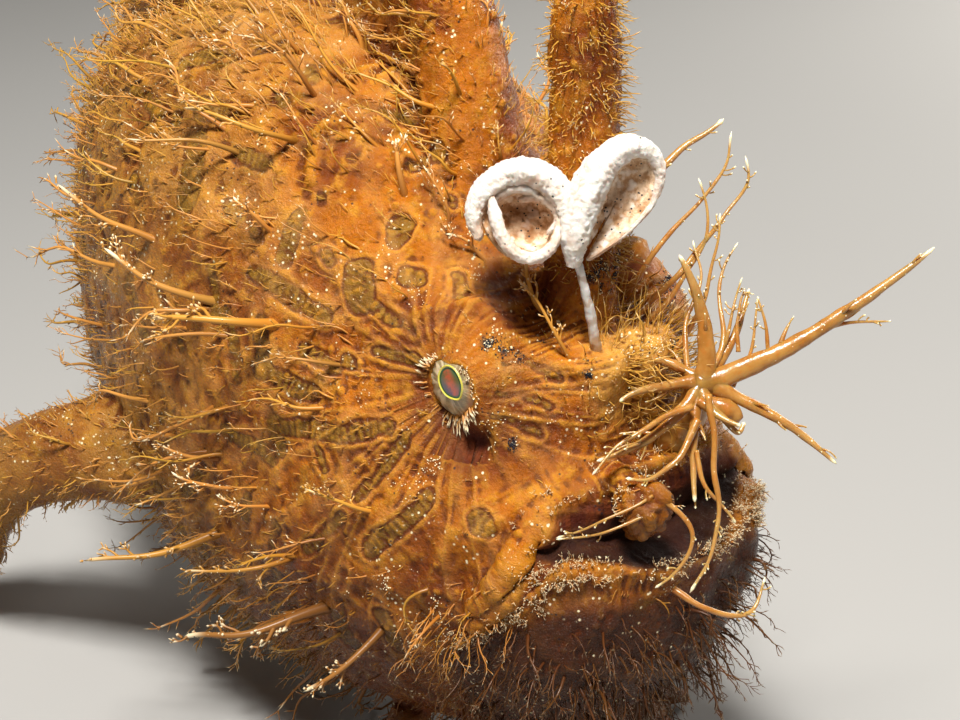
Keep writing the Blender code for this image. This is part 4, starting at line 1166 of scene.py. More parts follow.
class Coat:
    """Gathers strands that share their root's place and markings."""

    def __init__(self):
        self.parts = []

    def add(self, path, radii, sides, root, marks, tone, first=0.0, last=1.0):
        """Strands as tapering tubes; path is (strand, step, 3), radii (strand, step), the last one a point."""
        count, steps, _ = path.shape
        way = unit(np.gradient(path, axis=1))
        side = unit(np.cross(way[:, 0], np.array((0.37, 0.61, 0.70)) + way[:, 0, [1, 2, 0]]))
        side = unit(side[:, None] - way * np.einsum("ij,isj->is", side, way)[..., None])
        other = np.cross(way, side)
        turn = 2 * math.pi * np.arange(sides) / sides
        rim = side[:, :-1, None] * np.cos(turn)[None, None, :, None] + other[:, :-1, None] * np.sin(turn)[None, None, :, None]
        rings = path[:, :-1, None] + rim * radii[:, :-1, None, None]
        per = (steps - 1) * sides + 1
        points = np.concatenate([rings.reshape(count, -1, 3), path[:, -1:]], axis=1)
        at = first + (last - first) * np.linspace(0, 1, steps)
        along = np.concatenate([np.repeat(at[:-1], sides), at[-1:]])
        around = np.concatenate([np.tile(np.arange(sides) / sides, steps - 1), [0.5]])
        quads = grid_faces(steps - 1, sides, True)
        final = (steps - 2) * sides
        caps = np.stack([final + np.arange(sides), final + (np.arange(sides) + 1) % sides, np.full(sides, per - 1)], -1)
        self.parts.append({
            "points": points, "quads": quads, "caps": caps, "per": per, "along": along, "around": around,
            "root": root, "marks": marks, "tone": tone,
        })

    def tufts(self, rng, root, normal, out, on, length, radius, sides, steps, twigs, marks, crown=0.5):
        """Strands with short side twigs, most of them near the tip; out and on are the directions at the ends."""
        tone = rng.uniform(0, 1, len(root))
        path = strand_paths(root - normal * 0.25, out, on, length, steps, 0.09, rng)
        t = np.linspace(0, 1, steps)
        radii = radius[:, None] * (1 - 0.72 * t[None] ** 0.8)
        self.add(path, radii, sides, root, marks, tone)
        way = unit(np.gradient(path, axis=1))
        row = np.arange(len(root))
        for _ in range(twigs):
            at = 0.98 - (1 - crown * 0.4) * rng.uniform(0, 1, len(root)) ** 2 * 0.85
            index = at * (steps - 1)
            low = np.minimum(index.astype(int), steps - 2)
            part = (index - low)[:, None]
            start = path[row, low] * (1 - part) + path[row, low + 1] * part
            ahead = way[row, low]
            aside = unit(np.cross(ahead, unit(rng.normal(size=root.shape))))
            leave = unit(ahead + aside * rng.uniform(0.4, 1.3, len(root))[:, None])
            final = unit(ahead * 0.7 + aside * rng.uniform(0.0, 0.9, len(root))[:, None] + rng.normal(0, 0.25, root.shape))
            size = rng.uniform(0.25, 1.0, len(root)) * (0.35 + 0.16 * length)
            twig = strand_paths(start, leave, final, size, len(TWIG_RADII), 0.10, rng)
            thick = radius * (1 - 0.72 * at**0.8) * 0.62 + 0.012
            self.add(twig, thick[:, None] * TWIG_RADII[None], 3, root, marks, tone, 0.55, 1.0)

    def pieces(self, name, material, most=190000):
        """Objects of under the most triangles, each with its attributes and its OFBake map."""
        made, batch, total = [], [], 0
        for part in self.parts:
            count = len(part["root"])
            each = len(part["quads"]) * 2 + len(part["caps"])
            start = 0
            while start < count:
                take = min(count - start, max(1, (most - total) // each))
                batch.append((part, slice(start, start + take)))
                total += take * each
                start += take
                if total + each > most:
                    made.append(self.piece(f"{name}_{len(made) + 1}", batch, material))
                    batch, total = [], 0
        if batch:
            made.append(self.piece(f"{name}_{len(made) + 1}", batch, material))
        return made

    def piece(self, name, batch, material):
        points, loops, starts, faces_before, base = [], [], [], 0, 0
        data = {"rest": [], "along": [], "tone": [], "around": []}
        for part, rows in batch:
            block = part["points"][rows]
            count, per = len(block), part["per"]
            points.append(block.reshape(-1, 3))
            shift = base + np.arange(count)[:, None, None] * per
            quads = (part["quads"][None] + shift).reshape(-1)
            caps = (part["caps"][None] + shift).reshape(-1)
            loops += [quads, caps]
            starts.append(faces_before + np.arange(len(quads) // 4) * 4)
            faces_before += len(quads)
            starts.append(faces_before + np.arange(len(caps) // 3) * 3)
            faces_before += len(caps)
            base += count * per
            data["rest"].append(np.repeat(part["root"][rows], per, axis=0))
            data["tone"].append(np.repeat(part["tone"][rows], per))
            data["along"].append(np.tile(part["along"], count))
            data["around"].append(np.tile(part["around"], count))
            for key, values in part["marks"].items():
                data.setdefault(key, []).append(np.repeat(values[rows], per))
        data = {key: np.concatenate(values) for key, values in data.items()}
        points = np.concatenate(points)
        points[:, 2] = np.maximum(points[:, 2], FLOOR + 0.12)
        corners, starts = np.concatenate(loops), np.concatenate(starts)
        mesh = bpy.data.meshes.new(name)
        mesh.vertices.add(len(points))
        mesh.vertices.foreach_set("co", in_world(points).ravel())
        mesh.loops.add(len(corners))
        mesh.loops.foreach_set("vertex_index", corners.astype(np.int32))
        mesh.polygons.add(len(starts))
        mesh.polygons.foreach_set("loop_start", starts.astype(np.int32))
        mesh.update(calc_edges=True)
        mesh.validate()
        patch = unwrap(data["rest"]) + BAKE_PATCH * (np.stack([data["around"], data["along"]], -1) - 0.5)
        layer = mesh.uv_layers.new(name="OFBake")
        layer.data.foreach_set("uv", patch[corners].astype(np.float32).ravel())
        around = data.pop("around")
        for key, values in data.items():
            set_attribute(mesh, key, values)
        mesh.shade_smooth()
        mesh.materials.append(material)
        return object_of(mesh, name)


BAKE_PATCH = 0.003
TWIG_RADII = np.array((1, 0.65, 0.95, 0))  # a slim twig with a bead at its tip


def unwrap(points):
    """The skin's own unwrap: the body by its length and the angle round it, each fin by its own plane."""
    x = np.linspace(-110, 13.8, 400)
    top, _, half, _ = sizes_at(x)
    run = np.concatenate([[0], np.cumsum(np.hypot(np.diff(x), np.diff(half)))])
    along = np.interp(points[:, 0], x, run / run[-1])
    _, bottom, half, middle = sizes_at(points[:, 0])
    top = sizes_at(points[:, 0])[0]
    angle = np.arctan2(points[:, 1] / half, (points[:, 2] - middle) / np.maximum(top - middle, middle - bottom))
    body = np.stack([0.02 + 0.94 * along, 0.30 + 0.66 * (angle / (2 * math.pi) + 0.5)], -1)
    flat = np.stack([0.04 + 0.44 * (points[:, 0] + 110) / 125 + 0.48 * (points[:, 1] > 0), 0.02 + 0.24 * (points[:, 2] + 40) / 80], -1)
    limb = fullness(points) > 1.12
    return np.where(limb[:, None], flat, body)


class Roots:
    """Places on the finished skin where strands can grow."""

    def __init__(self, mesh):
        mesh.calc_loop_triangles()
        corners = np.empty(len(mesh.loop_triangles) * 3, np.int64)
        mesh.loop_triangles.foreach_get("vertices", corners)
        self.corners = corners.reshape(-1, 3)
        self.points = points_of(mesh)
        edges = edges_of(mesh)
        self.normals = unit(laplacian(normals_of(mesh), edges, 8, 0.6))
        a, b, c = (self.points[self.corners[:, k]] for k in range(3))
        self.area = np.linalg.norm(np.cross(b - a, c - a), axis=-1) / 2
        self.middle = (a + b + c) / 3
        self.facing = self.normals[self.corners].mean(axis=1)

    def sample(self, rng, count, density):
        """Random places, with their normals, where density(points, normals) is how thick they grow."""
        weight = self.area * density(self.middle, self.facing)
        chosen = rng.choice(len(weight), count, p=weight / weight.sum())
        u, v = rng.uniform(size=(2, count))
        over = u + v > 1
        u, v = np.where(over, 1 - u, u), np.where(over, 1 - v, v)
        share = np.stack([1 - u - v, u, v], -1)[..., None]
        return (self.points[self.corners[chosen]] * share).sum(1), unit((self.normals[self.corners[chosen]] * share).sum(1))


SNOUT = np.array((12.0, 0.0, -9.0))


def flow(points, normals):
    """The lie of the coat: away from the snout and eye, then back along the body and down over the chin."""
    away = unit(points - SNOUT)
    eye = unit(near_side(points) - (EYE_CENTRE[0], -EYE_CENTRE[1], EYE_CENTRE[2]))
    eye[:, 1] = 0
    back = np.clip((4.0 - points[:, 0]) / 14.0, 0, 1)[:, None]
    low = np.clip((-18.0 - points[:, 2]) / 12.0, 0, 1)[:, None]
    way = away * (1 - back) + back * (np.array((-1.0, 0, -0.10)) * 0.8 + eye * 0.45)
    way = way + low * np.array((-0.15, 0, -0.6))
    way = way - normals * np.einsum("ij,ij->i", way, normals)[:, None]
    return unit(way)


def face_share(points):
    """1 on the face round the eyes, snout and mouth, 0 behind it."""
    return np.clip((points[:, 0] + 9.0) / 7.0, 0, 1)


def bare(points, normals):
    """0 where nothing grows: on the eyes, in the mouth and under the soles."""
    p = near_side(points)
    eye = np.linalg.norm(p - (EYE_CENTRE[0], -EYE_CENTRE[1] - 2.6, EYE_CENTRE[2]), axis=-1)
    upper, lower = upper_edge(points[:, 1]), lower_edge(points[:, 1])
    mouth = (points[:, 2] < upper + 0.3) & (points[:, 2] > lower - 0.3) & (points[:, 0] > -4)
    mouth &= np.abs(points[:, 1]) < MOUTH_HALF
    return np.where((eye < 3.2) | mouth | (points[:, 2] < FLOOR + 0.6), 0.0, 1.0)


def marks_at(marks, points):
    read = marks.read(points)
    return {name: read[name] for name in ("bar", "run", "hollow_shade", "painted_shade", "dome")}


def dome_share(points):
    """1 on the domed snout between and before the eyes and over its far side."""
    away = (points - DOME_CENTRE) / DOME_REACH
    return np.clip(1.6 - np.linalg.norm(away, axis=-1), 0, 1)


def chin_share(points):
    """1 on the lower jaw and throat."""
    return np.clip((points[:, 0] + 2.0) / 4.0, 0, 1) * np.clip((-13.5 - points[:, 2]) / 3.0, 0, 1)


def near_flank(points):
    """1 on the middle of the flanks, where the coat is thin and the bars show."""
    up = np.clip((18.0 - np.abs(points[:, 2] + 4.0)) / 8.0, 0, 1)
    return up * np.clip((points[:, 0] + 46.0) / 12.0, 0, 1)


def grow_fine(coat, roots, marks, rng):
    """Short fine hairs all over."""
    count = 16500

    def thickness(p, n):
        return bare(p, n) * (1 - 0.35 * face_share(p)) * (1 - 0.6 * near_flank(p))

    place, normal = roots.sample(rng, count, thickness)
    way = flow(place, normal)
    face = face_share(place)
    length = rng.uniform(0.6, 1.7, count) * (1 - 0.45 * face)
    out = unit(normal * 0.8 + way * 0.6 + rng.normal(0, 0.3, place.shape))
    on = unit(way + normal * rng.uniform(-0.1, 0.6, count)[:, None] + rng.normal(0, 0.35, place.shape))
    path = strand_paths(place - normal * 0.15, out, on, length, 4, 0.10, rng)
    radius = rng.uniform(0.032, 0.062, count)
    tone = rng.uniform(0, 1, count)
    coat.add(path, radius[:, None] * np.array((1.3, 0.8, 0.75, 0))[None], 3, place, marks_at(marks, place), tone)


def grains(coat, place, normal, size, tone, marks, rng):
    """Small four-sided grains half sunk in the skin."""
    way = unit(normal + rng.normal(0, 0.6, place.shape))
    rise = np.array((-0.6, 0.6, 1.4))[None, :, None] * size[:, None, None]
    path = place[:, None] + normal[:, None] * 0.01 + way[:, None] * rise
    coat.add(path, size[:, None] * np.array((0.7, 1.0, 0))[None], 4, place, marks_at(marks, place), tone, 0.97, 1.0)


def grow_glints_and_grains(coat, roots, marks, rng):
    """Tiny bright grains in drifts on the skin, painted white as glints, and blue-black ones with them in the dark
    patches.
    """
    count = 4300

    def drifts(p, n):
        return bare(p, n) * np.clip(noise(p, 1.9, 91) - 0.22, 0, 1) ** 2 * (0.30 + face_share(p))

    place, normal = roots.sample(rng, count, drifts)
    grains(coat, place, normal, rng.uniform(0.025, 0.065, count), np.ones(count), marks, rng)

    def patches(p, n):
        near = near_side(p)
        found = np.zeros(len(p))
        for centre, reach in marks.patches:
            found = np.maximum(found, np.exp(-((np.linalg.norm(near - centre, axis=-1) / reach) ** 2)))
        return np.where(found > 0.05, found, 0) * (0.08 + np.clip(noise(p, 0.5, 92), 0, 1))

    count = 1500
    place, normal = roots.sample(rng, count, patches)
    tone = np.where(rng.random(count) < 0.86, 2.0, 1.0)
    grains(coat, place, normal, 0.022 + 0.055 * rng.random(count) ** 2, tone, marks, rng)


def grow_tufts(coat, roots, marks, rng, count, low, high, radius, sides, steps, twigs, density):
    place, normal = roots.sample(rng, count, lambda p, n: bare(p, n) * density(p))
    way = flow(place, normal)
    face = face_share(place)
    length = rng.uniform(low, high, count) * (1 - 0.6 * face)
    length *= np.where(fullness(place) > 1.12, 0.55, 1.0)
    lift = rng.uniform(0.05, 0.7, count)[:, None] * (1 - 0.5 * near_flank(place)[:, None])
    out = unit(normal * 0.9 + way * 0.7 + rng.normal(0, 0.25, place.shape))
    on = unit(way + normal * lift + rng.normal(0, 0.28, place.shape) - (0, 0, 0.12))
    thick = radius * rng.uniform(0.65, 1.3, count) * (1 - 0.2 * face)
    coat.tufts(rng, place, normal, out, on, length, thick, sides, steps, twigs, marks_at(marks, place))


def grow_dome(coat, roots, marks, rng):
    """Fine golden hairs that stand out round the snout, the second spine and the far side of the head."""
    count = 1900

    def dome_and_spine(p, n):
        spine = np.clip((p[:, 0] + 3.0) / 2.0, 0, 1) * np.clip((p[:, 2] - 5.5) / 2.0, 0, 1)
        return bare(p, n) * (0.55 * dome_share(p) * (p[:, 2] < 5.5) + 0.75 * spine)

    place, normal = roots.sample(rng, count, dome_and_spine)
    up = np.clip((place[:, 2] - 5.0) / 3.0, 0, 1)[:, None]
    out = unit(normal + rng.normal(0, 0.30, place.shape))
    on = unit(normal * 0.6 + np.array((0.0, 0, 0.5)) * (1 - up) + up * np.array((0.1, 0.0, -0.2)) + rng.normal(0, 0.35, place.shape))
    length = rng.uniform(1.0, 4.2, count) * (1 - 0.55 * up[:, 0])
    length *= np.where(place[:, 1] < -2.0, 0.6, 1.0)
    path = strand_paths(place - normal * 0.2, out, on, length, 6, 0.10, rng)
    radius = rng.uniform(0.030, 0.064, count)
    tone = rng.uniform(0, 0.42, count)
    profile = np.array((1.4, 1.0, 0.8, 0.65, 0.8, 0))
    coat.add(path, radius[:, None] * profile[None], 3, place, marks_at(marks, place), tone, 0.35, 1.0)


def grow_heroes(coat, on_skin, marks, rng):
    """The long filaments that the view shows one by one, branching like coral towards their ends."""
    steps = 20
    t = np.linspace(0, 1, steps)
    for start, end, width in HEROES:
        root, normal = on_skin(*start)
        depth = (root - VIEW_ORIGIN) @ NEARER
        scale = (VIEW_DISTANCE - depth) / VIEW_DISTANCE
        shift = np.array(end) - np.array(start)
        tip = root + (ACROSS * shift[0] + UPWARD * shift[1]) * scale + NEARER * 1.0
        length = np.linalg.norm(tip - root)
        handle = root + (tip - root) * 0.30 + normal * length * 0.22 + rng.normal(0, 0.10, 3) * length
        wave = np.sin(t * 7 + rng.uniform(0, 6))[:, None] * unit(rng.normal(size=3)) * 0.05 * length
        path = arc(root - normal * 0.9, handle, tip, steps) + wave * t[:, None]
        tone, spot = np.array([rng.uniform(0.30, 0.75)]), marks_at(marks, root[None])
        radii = width / 2 * (1 - 0.62 * t**0.9) * (1 + 0.7 * np.exp(-t / 0.09))
        coat.add(path[None], np.append(radii[:-1], 0)[None], 8, root[None], spot, tone)
        way = unit(np.gradient(path, axis=0))
        for k in range(3 + int(width * 4)):
            at = rng.uniform(0.55, 0.95) if width > 0.85 else rng.uniform(0.30, 0.97)
            i = min(int(at * (steps - 1)), steps - 2)
            aside = unit(np.cross(way[i], rng.normal(size=3)))
            size = rng.uniform(0.9, 2.4) * (0.4 + 0.6 * width)
            leave = unit(way[i] + aside * rng.uniform(0.5, 1.2))
            final = unit(way[i] * 0.8 + aside * rng.uniform(0.1, 1.0))
            branch = strand_paths(path[i][None], leave[None], final[None], np.array([size]), 7, 0.10, rng)
            thick = radii[i] * 0.62
            coat.add(branch, thick * np.array((1, 0.85, 0.75, 0.68, 0.62, 0.7, 0))[None], 6, root[None], spot, tone, 0.5, 1.0)
            grow_buds(coat, branch[0], thick * 0.75, 3 + int(width * 3), root, spot, tone, rng)
        grow_buds(coat, path, radii[-4], 4 + int(width * 5), root, spot, tone, rng)
        index = rng.integers(2, steps - 1, int(length * 2.5))
        aside = unit(rng.normal(size=(len(index), 3)))
        tones = np.where(rng.random(len(index)) < 0.35, 2.0, 1.0)
        grains(coat, path[index] + aside * radii[index, None], aside, rng.uniform(0.03, 0.06, len(index)), tones, marks, rng)


def grow_buds(coat, path, radius, count, root, spot, tone, rng):
    """Short stubby pale twigs in a cluster round a branch's end."""
    way = unit(np.gradient(path, axis=0))
    for _ in range(count):
        i = len(path) - 1 - int(rng.uniform(0.3, 0.45 * len(path)))
        aside = unit(np.cross(way[i], rng.normal(size=3)))
        leave = unit(way[i] * rng.uniform(0.3, 1.0) + aside)
        bud = strand_paths(path[i][None], leave[None], unit(way[i] + aside * 0.6)[None], np.array([rng.uniform(0.25, 0.75)]), 5, 0.08, rng)
        coat.add(bud, (radius * 0.55 + 0.02) * np.array((1, 0.8, 0.8, 1.15, 0))[None], 5, root[None], spot, tone, 0.62, 1.0)


def grow_fringe(coat, marks, rng):
    """Papillae round the lower and back edge of each eye."""
    count = 190
    for sign in SIDES.values():
        centre = np.array((EYE_CENTRE[0], EYE_CENTRE[1] * sign, EYE_CENTRE[2]))
        axis = collar_axis(sign)
        one, two = eye_plane(axis)
        turn = rng.uniform(math.radians(120), math.radians(415), count)
        rim = one * np.cos(turn)[:, None] + two * np.sin(turn)[:, None]
        lean = rng.uniform(COLLAR_LEAN - 0.06, COLLAR_LEAN + 0.08, count)[:, None]
        high = EYE_RADIUS + 0.12 + 0.3 * np.maximum(np.cos(turn), 0)[:, None]
        root = centre + (axis * np.cos(lean) + rim * np.sin(lean)) * high
        normal = unit(root - centre)
        out = unit(rim * 0.35 + normal * 0.9 + rng.normal(0, 0.2, rim.shape))
        low = np.clip(0.55 - 0.75 * np.sin(turn - 0.5), 0.25, 1.0)
        length = rng.uniform(0.4, 1.7, count) * low
        path = strand_paths(root - normal * 0.1, out, unit(rim + normal * 0.25), length, 5, 0.08, rng)
        radius = rng.uniform(0.035, 0.070, count)
        tone = np.full(count, 0.95)
        coat.add(path, radius[:, None] * np.array((1.3, 1.0, 0.8, 0.8, 0))[None], 4, root, marks_at(marks, root), tone, 0.74, 1.0)


def grow_lips(coat, roots, marks, rng):
    """White-tipped papillae in rows along the lower lip, and a few along the upper."""
    for edge, low, high, count in ((lower_edge, -3.0, 0.3, 850), (upper_edge, 0.2, 1.8, 110)):

        def band(p, n):
            above = p[:, 2] - edge(p[:, 1])
            rows = 0.5 + 0.5 * np.cos(above * 2 * math.pi / 0.85)
            front = (p[:, 0] > 2.5) & (np.abs(p[:, 1]) < MOUTH_HALF) & (fullness(p) > 0.94)
            return np.where(front & (above > low) & (above < high), rows * (0.3 + noise(p, 1.6, 95).clip(0, 1)), 0)

        root, normal = roots.sample(rng, count, band)
        out = unit(normal + rng.normal(0, 0.3, root.shape))
        on = unit(normal * 0.8 + rng.normal(0, 0.3, root.shape) + (0.1, 0, 0.25))
        length = rng.uniform(0.25, 0.85, count)
        before = len(coat.parts)
        coat.tufts(rng, root, normal, out, on, length, 0.055 + 0.03 * length, 4, 5, 4, marks_at(marks, root), 1.0)
        for part in coat.parts[before:]:
            part["tone"] = np.maximum(part["tone"], 0.8)
            part["along"] = 0.45 + 0.55 * part["along"]


def grow_chin(coat, roots, marks, rng, count, low, high, radius, twigs):
    """Limp filaments that hang from the lower jaw and throat."""
    place, normal = roots.sample(rng, count, lambda p, n: bare(p, n) * chin_share(p))
    out = unit(normal + rng.normal(0, 0.35, place.shape))
    on = unit(normal * 0.35 + rng.normal(0, 0.35, place.shape) + np.array((-0.1, 0, -0.9)))
    length = rng.uniform(low, high, count)
    thick = radius * rng.uniform(0.6, 1.3, count)
    coat.tufts(rng, place, normal, out, on, length, thick, 4, 8, twigs, marks_at(marks, place))


def build_coat(skin, marks, on_skin):
    rng = np.random.default_rng(17)
    roots = Roots(skin.data)
    fine, tufts, long = Coat(), Coat(), Coat()
    grow_fine(fine, roots, marks, rng)
    grow_glints_and_grains(fine, roots, marks, rng)
    grow_dome(fine, roots, marks, rng)
    sparse = lambda p: (1 - 0.50 * face_share(p)) * (1 - 0.66 * near_flank(p))
    grow_tufts(tufts, roots, marks, rng, 3700, 1.6, 4.2, 0.095, 4, 7, 4, sparse)
    grow_tufts(long, roots, marks, rng, 570, 4.5, 9.0, 0.19, 6, 12, 12, lambda p: (1 - 0.95 * face_share(p)) * (1 - 0.6 * near_flank(p)))
    grow_chin(tufts, roots, marks, rng, 760, 1.2, 3.6, 0.075, 3)
    grow_chin(long, roots, marks, rng, 110, 3.5, 6.5, 0.15, 9)
    grow_heroes(long, on_skin, marks, rng)
    grow_fringe(long, marks, rng)
    grow_lips(long, roots, marks, rng)
    finish = coat_material()
    made = fine.pieces("coat_fine", finish) + tufts.pieces("coat_tufts", finish) + long.pieces("coat_long", finish)
    return made


# Eyes


def eye_axis(sign):
    return unit(np.array((0.19, 0.967 * sign, 0.17)))


def eye_plane(axis):
    """Directions back and up across the eye's axis."""
    back = unit(np.cross(axis, (0, 0, 1.0)) * -np.sign(axis[1]))
    back = back * np.sign(-back[0] if abs(back[0]) > 0.1 else 1)
    return back, unit(np.cross(axis, back)) * np.sign(np.cross(axis, back)[2])


PUPIL_HALF = 1.0
RING_YELLOW = (0.56, 0.50, 0.07)


def eye_shape(side, sign, skin_finish, lens_finish):
    """The eyeball: a glossy pupil, its bright ring and the folded clear skin that grows over the rest."""
    axis = eye_axis(sign)
    back, up = eye_plane(axis)
    centre = np.array((EYE_CENTRE[0], EYE_CENTRE[1] * sign, EYE_CENTRE[2]))
    around, inner, outer = 130, 22, 62
    turn = 2 * math.pi * np.arange(around) / around
    long_way = math.radians(50)  # the pupil is longest from its back top to its front bottom
    stretch = 1 + 0.11 * np.cos(2 * (turn - long_way)) + 0.14 * np.exp(-((np.angle(np.exp(1j * (turn - long_way - math.pi))) / 0.3) ** 2))
    edge = PUPIL_HALF / EYE_RADIUS * stretch
    share = np.concatenate([np.linspace(0.02, 1, inner), 1 + np.linspace(0, 1, outer)[1:] ** 1.3])
    lean = np.where(share[:, None] <= 1, share[:, None] * edge[None], edge[None] + (share[:, None] - 1) * (1.45 - edge[None]))
    ring = np.exp(-(((share[:, None] - 1.012) / 0.014) ** 2))
    spokes = 1 - np.abs(noise(np.stack([np.tile(turn * 6.0, len(share)), np.repeat(share * 2.0, around), np.zeros(len(share) * around)], -1), 1.0, 41))
    spokes = spokes.reshape(len(share), around) ** 2
    far = np.clip((share[:, None] - 1.08) / 0.3, 0, 1)
    lift = np.where(share[:, None] < 1, -0.10 * (1 - 0.4 * share[:, None] ** 2), 0.0) + 0.08 * ring + far * (0.08 * spokes - 0.03)
    radius = EYE_RADIUS + lift
    rim = back * np.cos(turn)[:, None] + up * np.sin(turn)[:, None]
    grid = centre + (axis * np.cos(lean)[..., None] + rim[None] * np.sin(lean)[..., None]) * radius[..., None]
    points, faces = shell(grid)
    mesh = mesh_from("eye_" + side, in_world(points), faces)
    outward_normals(mesh)
    set_attribute(mesh, "rest", points)
    set_attribute(mesh, "share", np.repeat(share, around))
    set_attribute(mesh, "spokes", spokes.ravel())
    local = np.stack([(points - centre) @ back, (points - centre) @ up, np.zeros(len(points))], -1)
    set_attribute(mesh, "local", local)
    mesh.materials.append(lens_finish)
    mesh.materials.append(skin_finish)
    lens_faces = (inner - 1) * around
    index = np.ones(len(mesh.polygons), np.int32)
    index[:lens_faces] = 0
    index[-2] = 0
    mesh.polygons.foreach_set("material_index", index)
    mesh.shade_smooth()
    return object_of(mesh, "eyeball_" + side)


def lens_material():
    """The pupil: dark and glossy, with a red streak, green above and violet below."""
    m = Maker("pupil")
    local = m.attribute("local", "Vector")
    split = m.node("ShaderNodeSeparateXYZ")
    m.link(local, split.inputs[0])
    grain = m.noise(local, 0.35, 4.0, 0.7)
    slant = m.math("ADD", m.math("MULTIPLY", split.outputs[0], -0.8), m.math("MULTIPLY", split.outputs[1], 0.55))
    slant = m.math("ADD", slant, m.math("MULTIPLY", grain, 0.5))
    colour = m.mix(m.step(split.outputs[1], -0.9, 0.3), (0.06, 0.045, 0.10), (0.10, 0.085, 0.03))
    colour = m.mix(m.step(split.outputs[1], 0.25, 1.0), colour, (0.02, 0.11, 0.05))
    streak = m.math("MULTIPLY", m.step(slant, -0.25, 0.25), m.step(slant, 0.85, 0.35))
    colour = m.mix(m.math("MULTIPLY", streak, m.step(grain, 0.35, 0.6, 0.35, 0.9)), colour, (0.42, 0.075, 0.035))
    share = m.attribute("share")
    colour = m.mix(m.step(share, 0.78, 0.90), colour, (0.02, 0.06, 0.025))
    colour = m.mix(m.step(share, 0.965, 0.985), colour, RING_YELLOW)
    return m.finish(colour, 0.08, Coat_Weight=1.0, Coat_Roughness=0.03)


def eye_skin_material():
    m = Maker("eye_skin")
    rest, share, spokes = m.attribute("rest", "Vector"), m.attribute("share"), m.attribute("spokes")
    mottle = m.noise(rest, 0.7, 4.0, 0.65)
    colour = m.mix(m.step(mottle, 0.35, 0.65), (0.16, 0.115, 0.055), (0.42, 0.31, 0.16))
    split = m.node("ShaderNodeSeparateXYZ")
    m.link(m.attribute("local", "Vector"), split.inputs[0])
    pale = m.math("MULTIPLY", m.step(spokes, 0.35, 0.95), m.step(split.outputs[0], -1.6, 0.8, 0.30, 0.90))
    colour = m.mix(pale, colour, (0.68, 0.55, 0.36))
    reach = m.math("ADD", share, m.math("MULTIPLY", split.outputs[0], -0.26))
    colour = m.mix(m.step(reach, 1.40, 1.66, 0.0, 0.9), colour, m.mix(spokes, ORANGE_DEEP, ORANGE_PALE))
    colour = m.mix(m.step(share, 1.045, 1.022), colour, RING_YELLOW)
    m.bump(m.noise(rest, 0.12, 3.0, 0.7), 0.00006, 0.6)
    return m.finish(colour, 0.30, Subsurface_Weight=0.25, Subsurface_Scale=0.0007, Coat_Weight=0.4, Coat_Roughness=0.08)


# Lure and feelers


def worm(name, path, radii, sides, rough, seed, finish):
    """A soft rough tube with its relief kept as an attribute."""
    grid = tube_grid(path, radii, sides)
    middle = path[:, None]
    flat = grid.reshape(-1, 3)
    relief = 0.55 * noise(flat, 0.55, seed) + 0.35 * noise(flat, 0.26, seed + 1) + 0.25 * noise(flat, 0.13, seed + 2)
    grid = middle + (grid - middle) * (1 + rough * relief.reshape(len(path), sides, 1))
    points, faces = shell(grid)
    mesh = mesh_from(name, in_world(points), faces)
    set_attribute(mesh, "rest", points)
    set_attribute(mesh, "relief", relief)
    set_attribute(mesh, "along", np.repeat(np.linspace(0, 1, len(path)), sides))
    outward_normals(mesh)
    mesh.materials.append(finish)
    mesh.shade_smooth()
    return object_of(mesh, name)


# Middle lines of the lure's lobes in the view, with their radii in step: the right lobe arches over and its
# edge turns back up inside as a tongue; the left one is a long dish with a thick left edge
RIGHT_ARCH = ((7.9, 7.6, 3.6), (7.8, 9.5, 4.0), (7.5, 11.4, 4.2), (6.5, 12.9, 4.3), (4.9, 13.6, 4.3), (3.1, 13.2, 4.2),
              (1.9, 12.1, 4.1), (1.5, 10.6, 3.9), (1.9, 9.2, 3.6))
RIGHT_ARCH_RADII = (0.40, 0.70, 0.85, 1.00, 1.05, 1.00, 0.85, 0.60, 0.25)
RIGHT_TONGUE = ((2.6, 12.0, 4.4), (2.9, 10.7, 4.9), (3.4, 9.3, 4.9), (4.3, 8.3, 4.7), (5.5, 8.1, 4.5), (6.5, 8.8, 4.5),
                (7.0, 9.9, 4.3), (6.9, 11.0, 3.9))
RIGHT_TONGUE_RADII = (0.20, 0.42, 0.46, 0.44, 0.42, 0.36, 0.30, 0.20)
RIGHT_FOLDS = (
    ((2.5, 10.9, 3.8), (2.9, 12.0, 4.0), (4.0, 12.6, 4.1), (5.2, 12.5, 4.0), (6.0, 11.6, 3.7)),
    ((4.4, 11.9, 3.4), (5.5, 12.1, 3.7), (6.6, 11.6, 3.9), (7.0, 10.5, 3.8), (6.2, 9.6, 3.4)),
)
RIGHT_FOLD_RADII = (0.15, 0.36, 0.42, 0.38, 0.15)
RIGHT_DISH = ((7.3, 9.6, 3.6), (7.2, 11.4, 3.6), (6.2, 12.9, 3.6), (4.7, 13.3, 3.6), (2.8, 12.8, 3.6), (1.9, 11.2, 3.6),
              (2.4, 9.6, 3.6), (3.6, 8.3, 3.6), (5.2, 7.9, 3.6), (6.6, 8.5, 3.6), (7.3, 9.6, 3.6))
LEFT_LOOP = ((8.0, 7.6, 3.8), (8.0, 9.4, 4.6), (8.7, 11.9, 5.0), (9.9, 14.1, 5.1), (11.5, 15.2, 4.8), (12.9, 14.9, 4.2),
             (13.6, 13.6, 3.6), (13.2, 11.9, 3.2), (12.0, 10.3, 3.1), (10.4, 9.0, 3.2), (8.8, 8.0, 3.5))
LEFT_LOOP_RADII = (0.40, 0.95, 1.15, 1.20, 1.00, 0.72, 0.42, 0.22, 0.16, 0.16, 0.20)


def seen_line(points, count):
    return smooth_line([from_view(*p) for p in points], count)


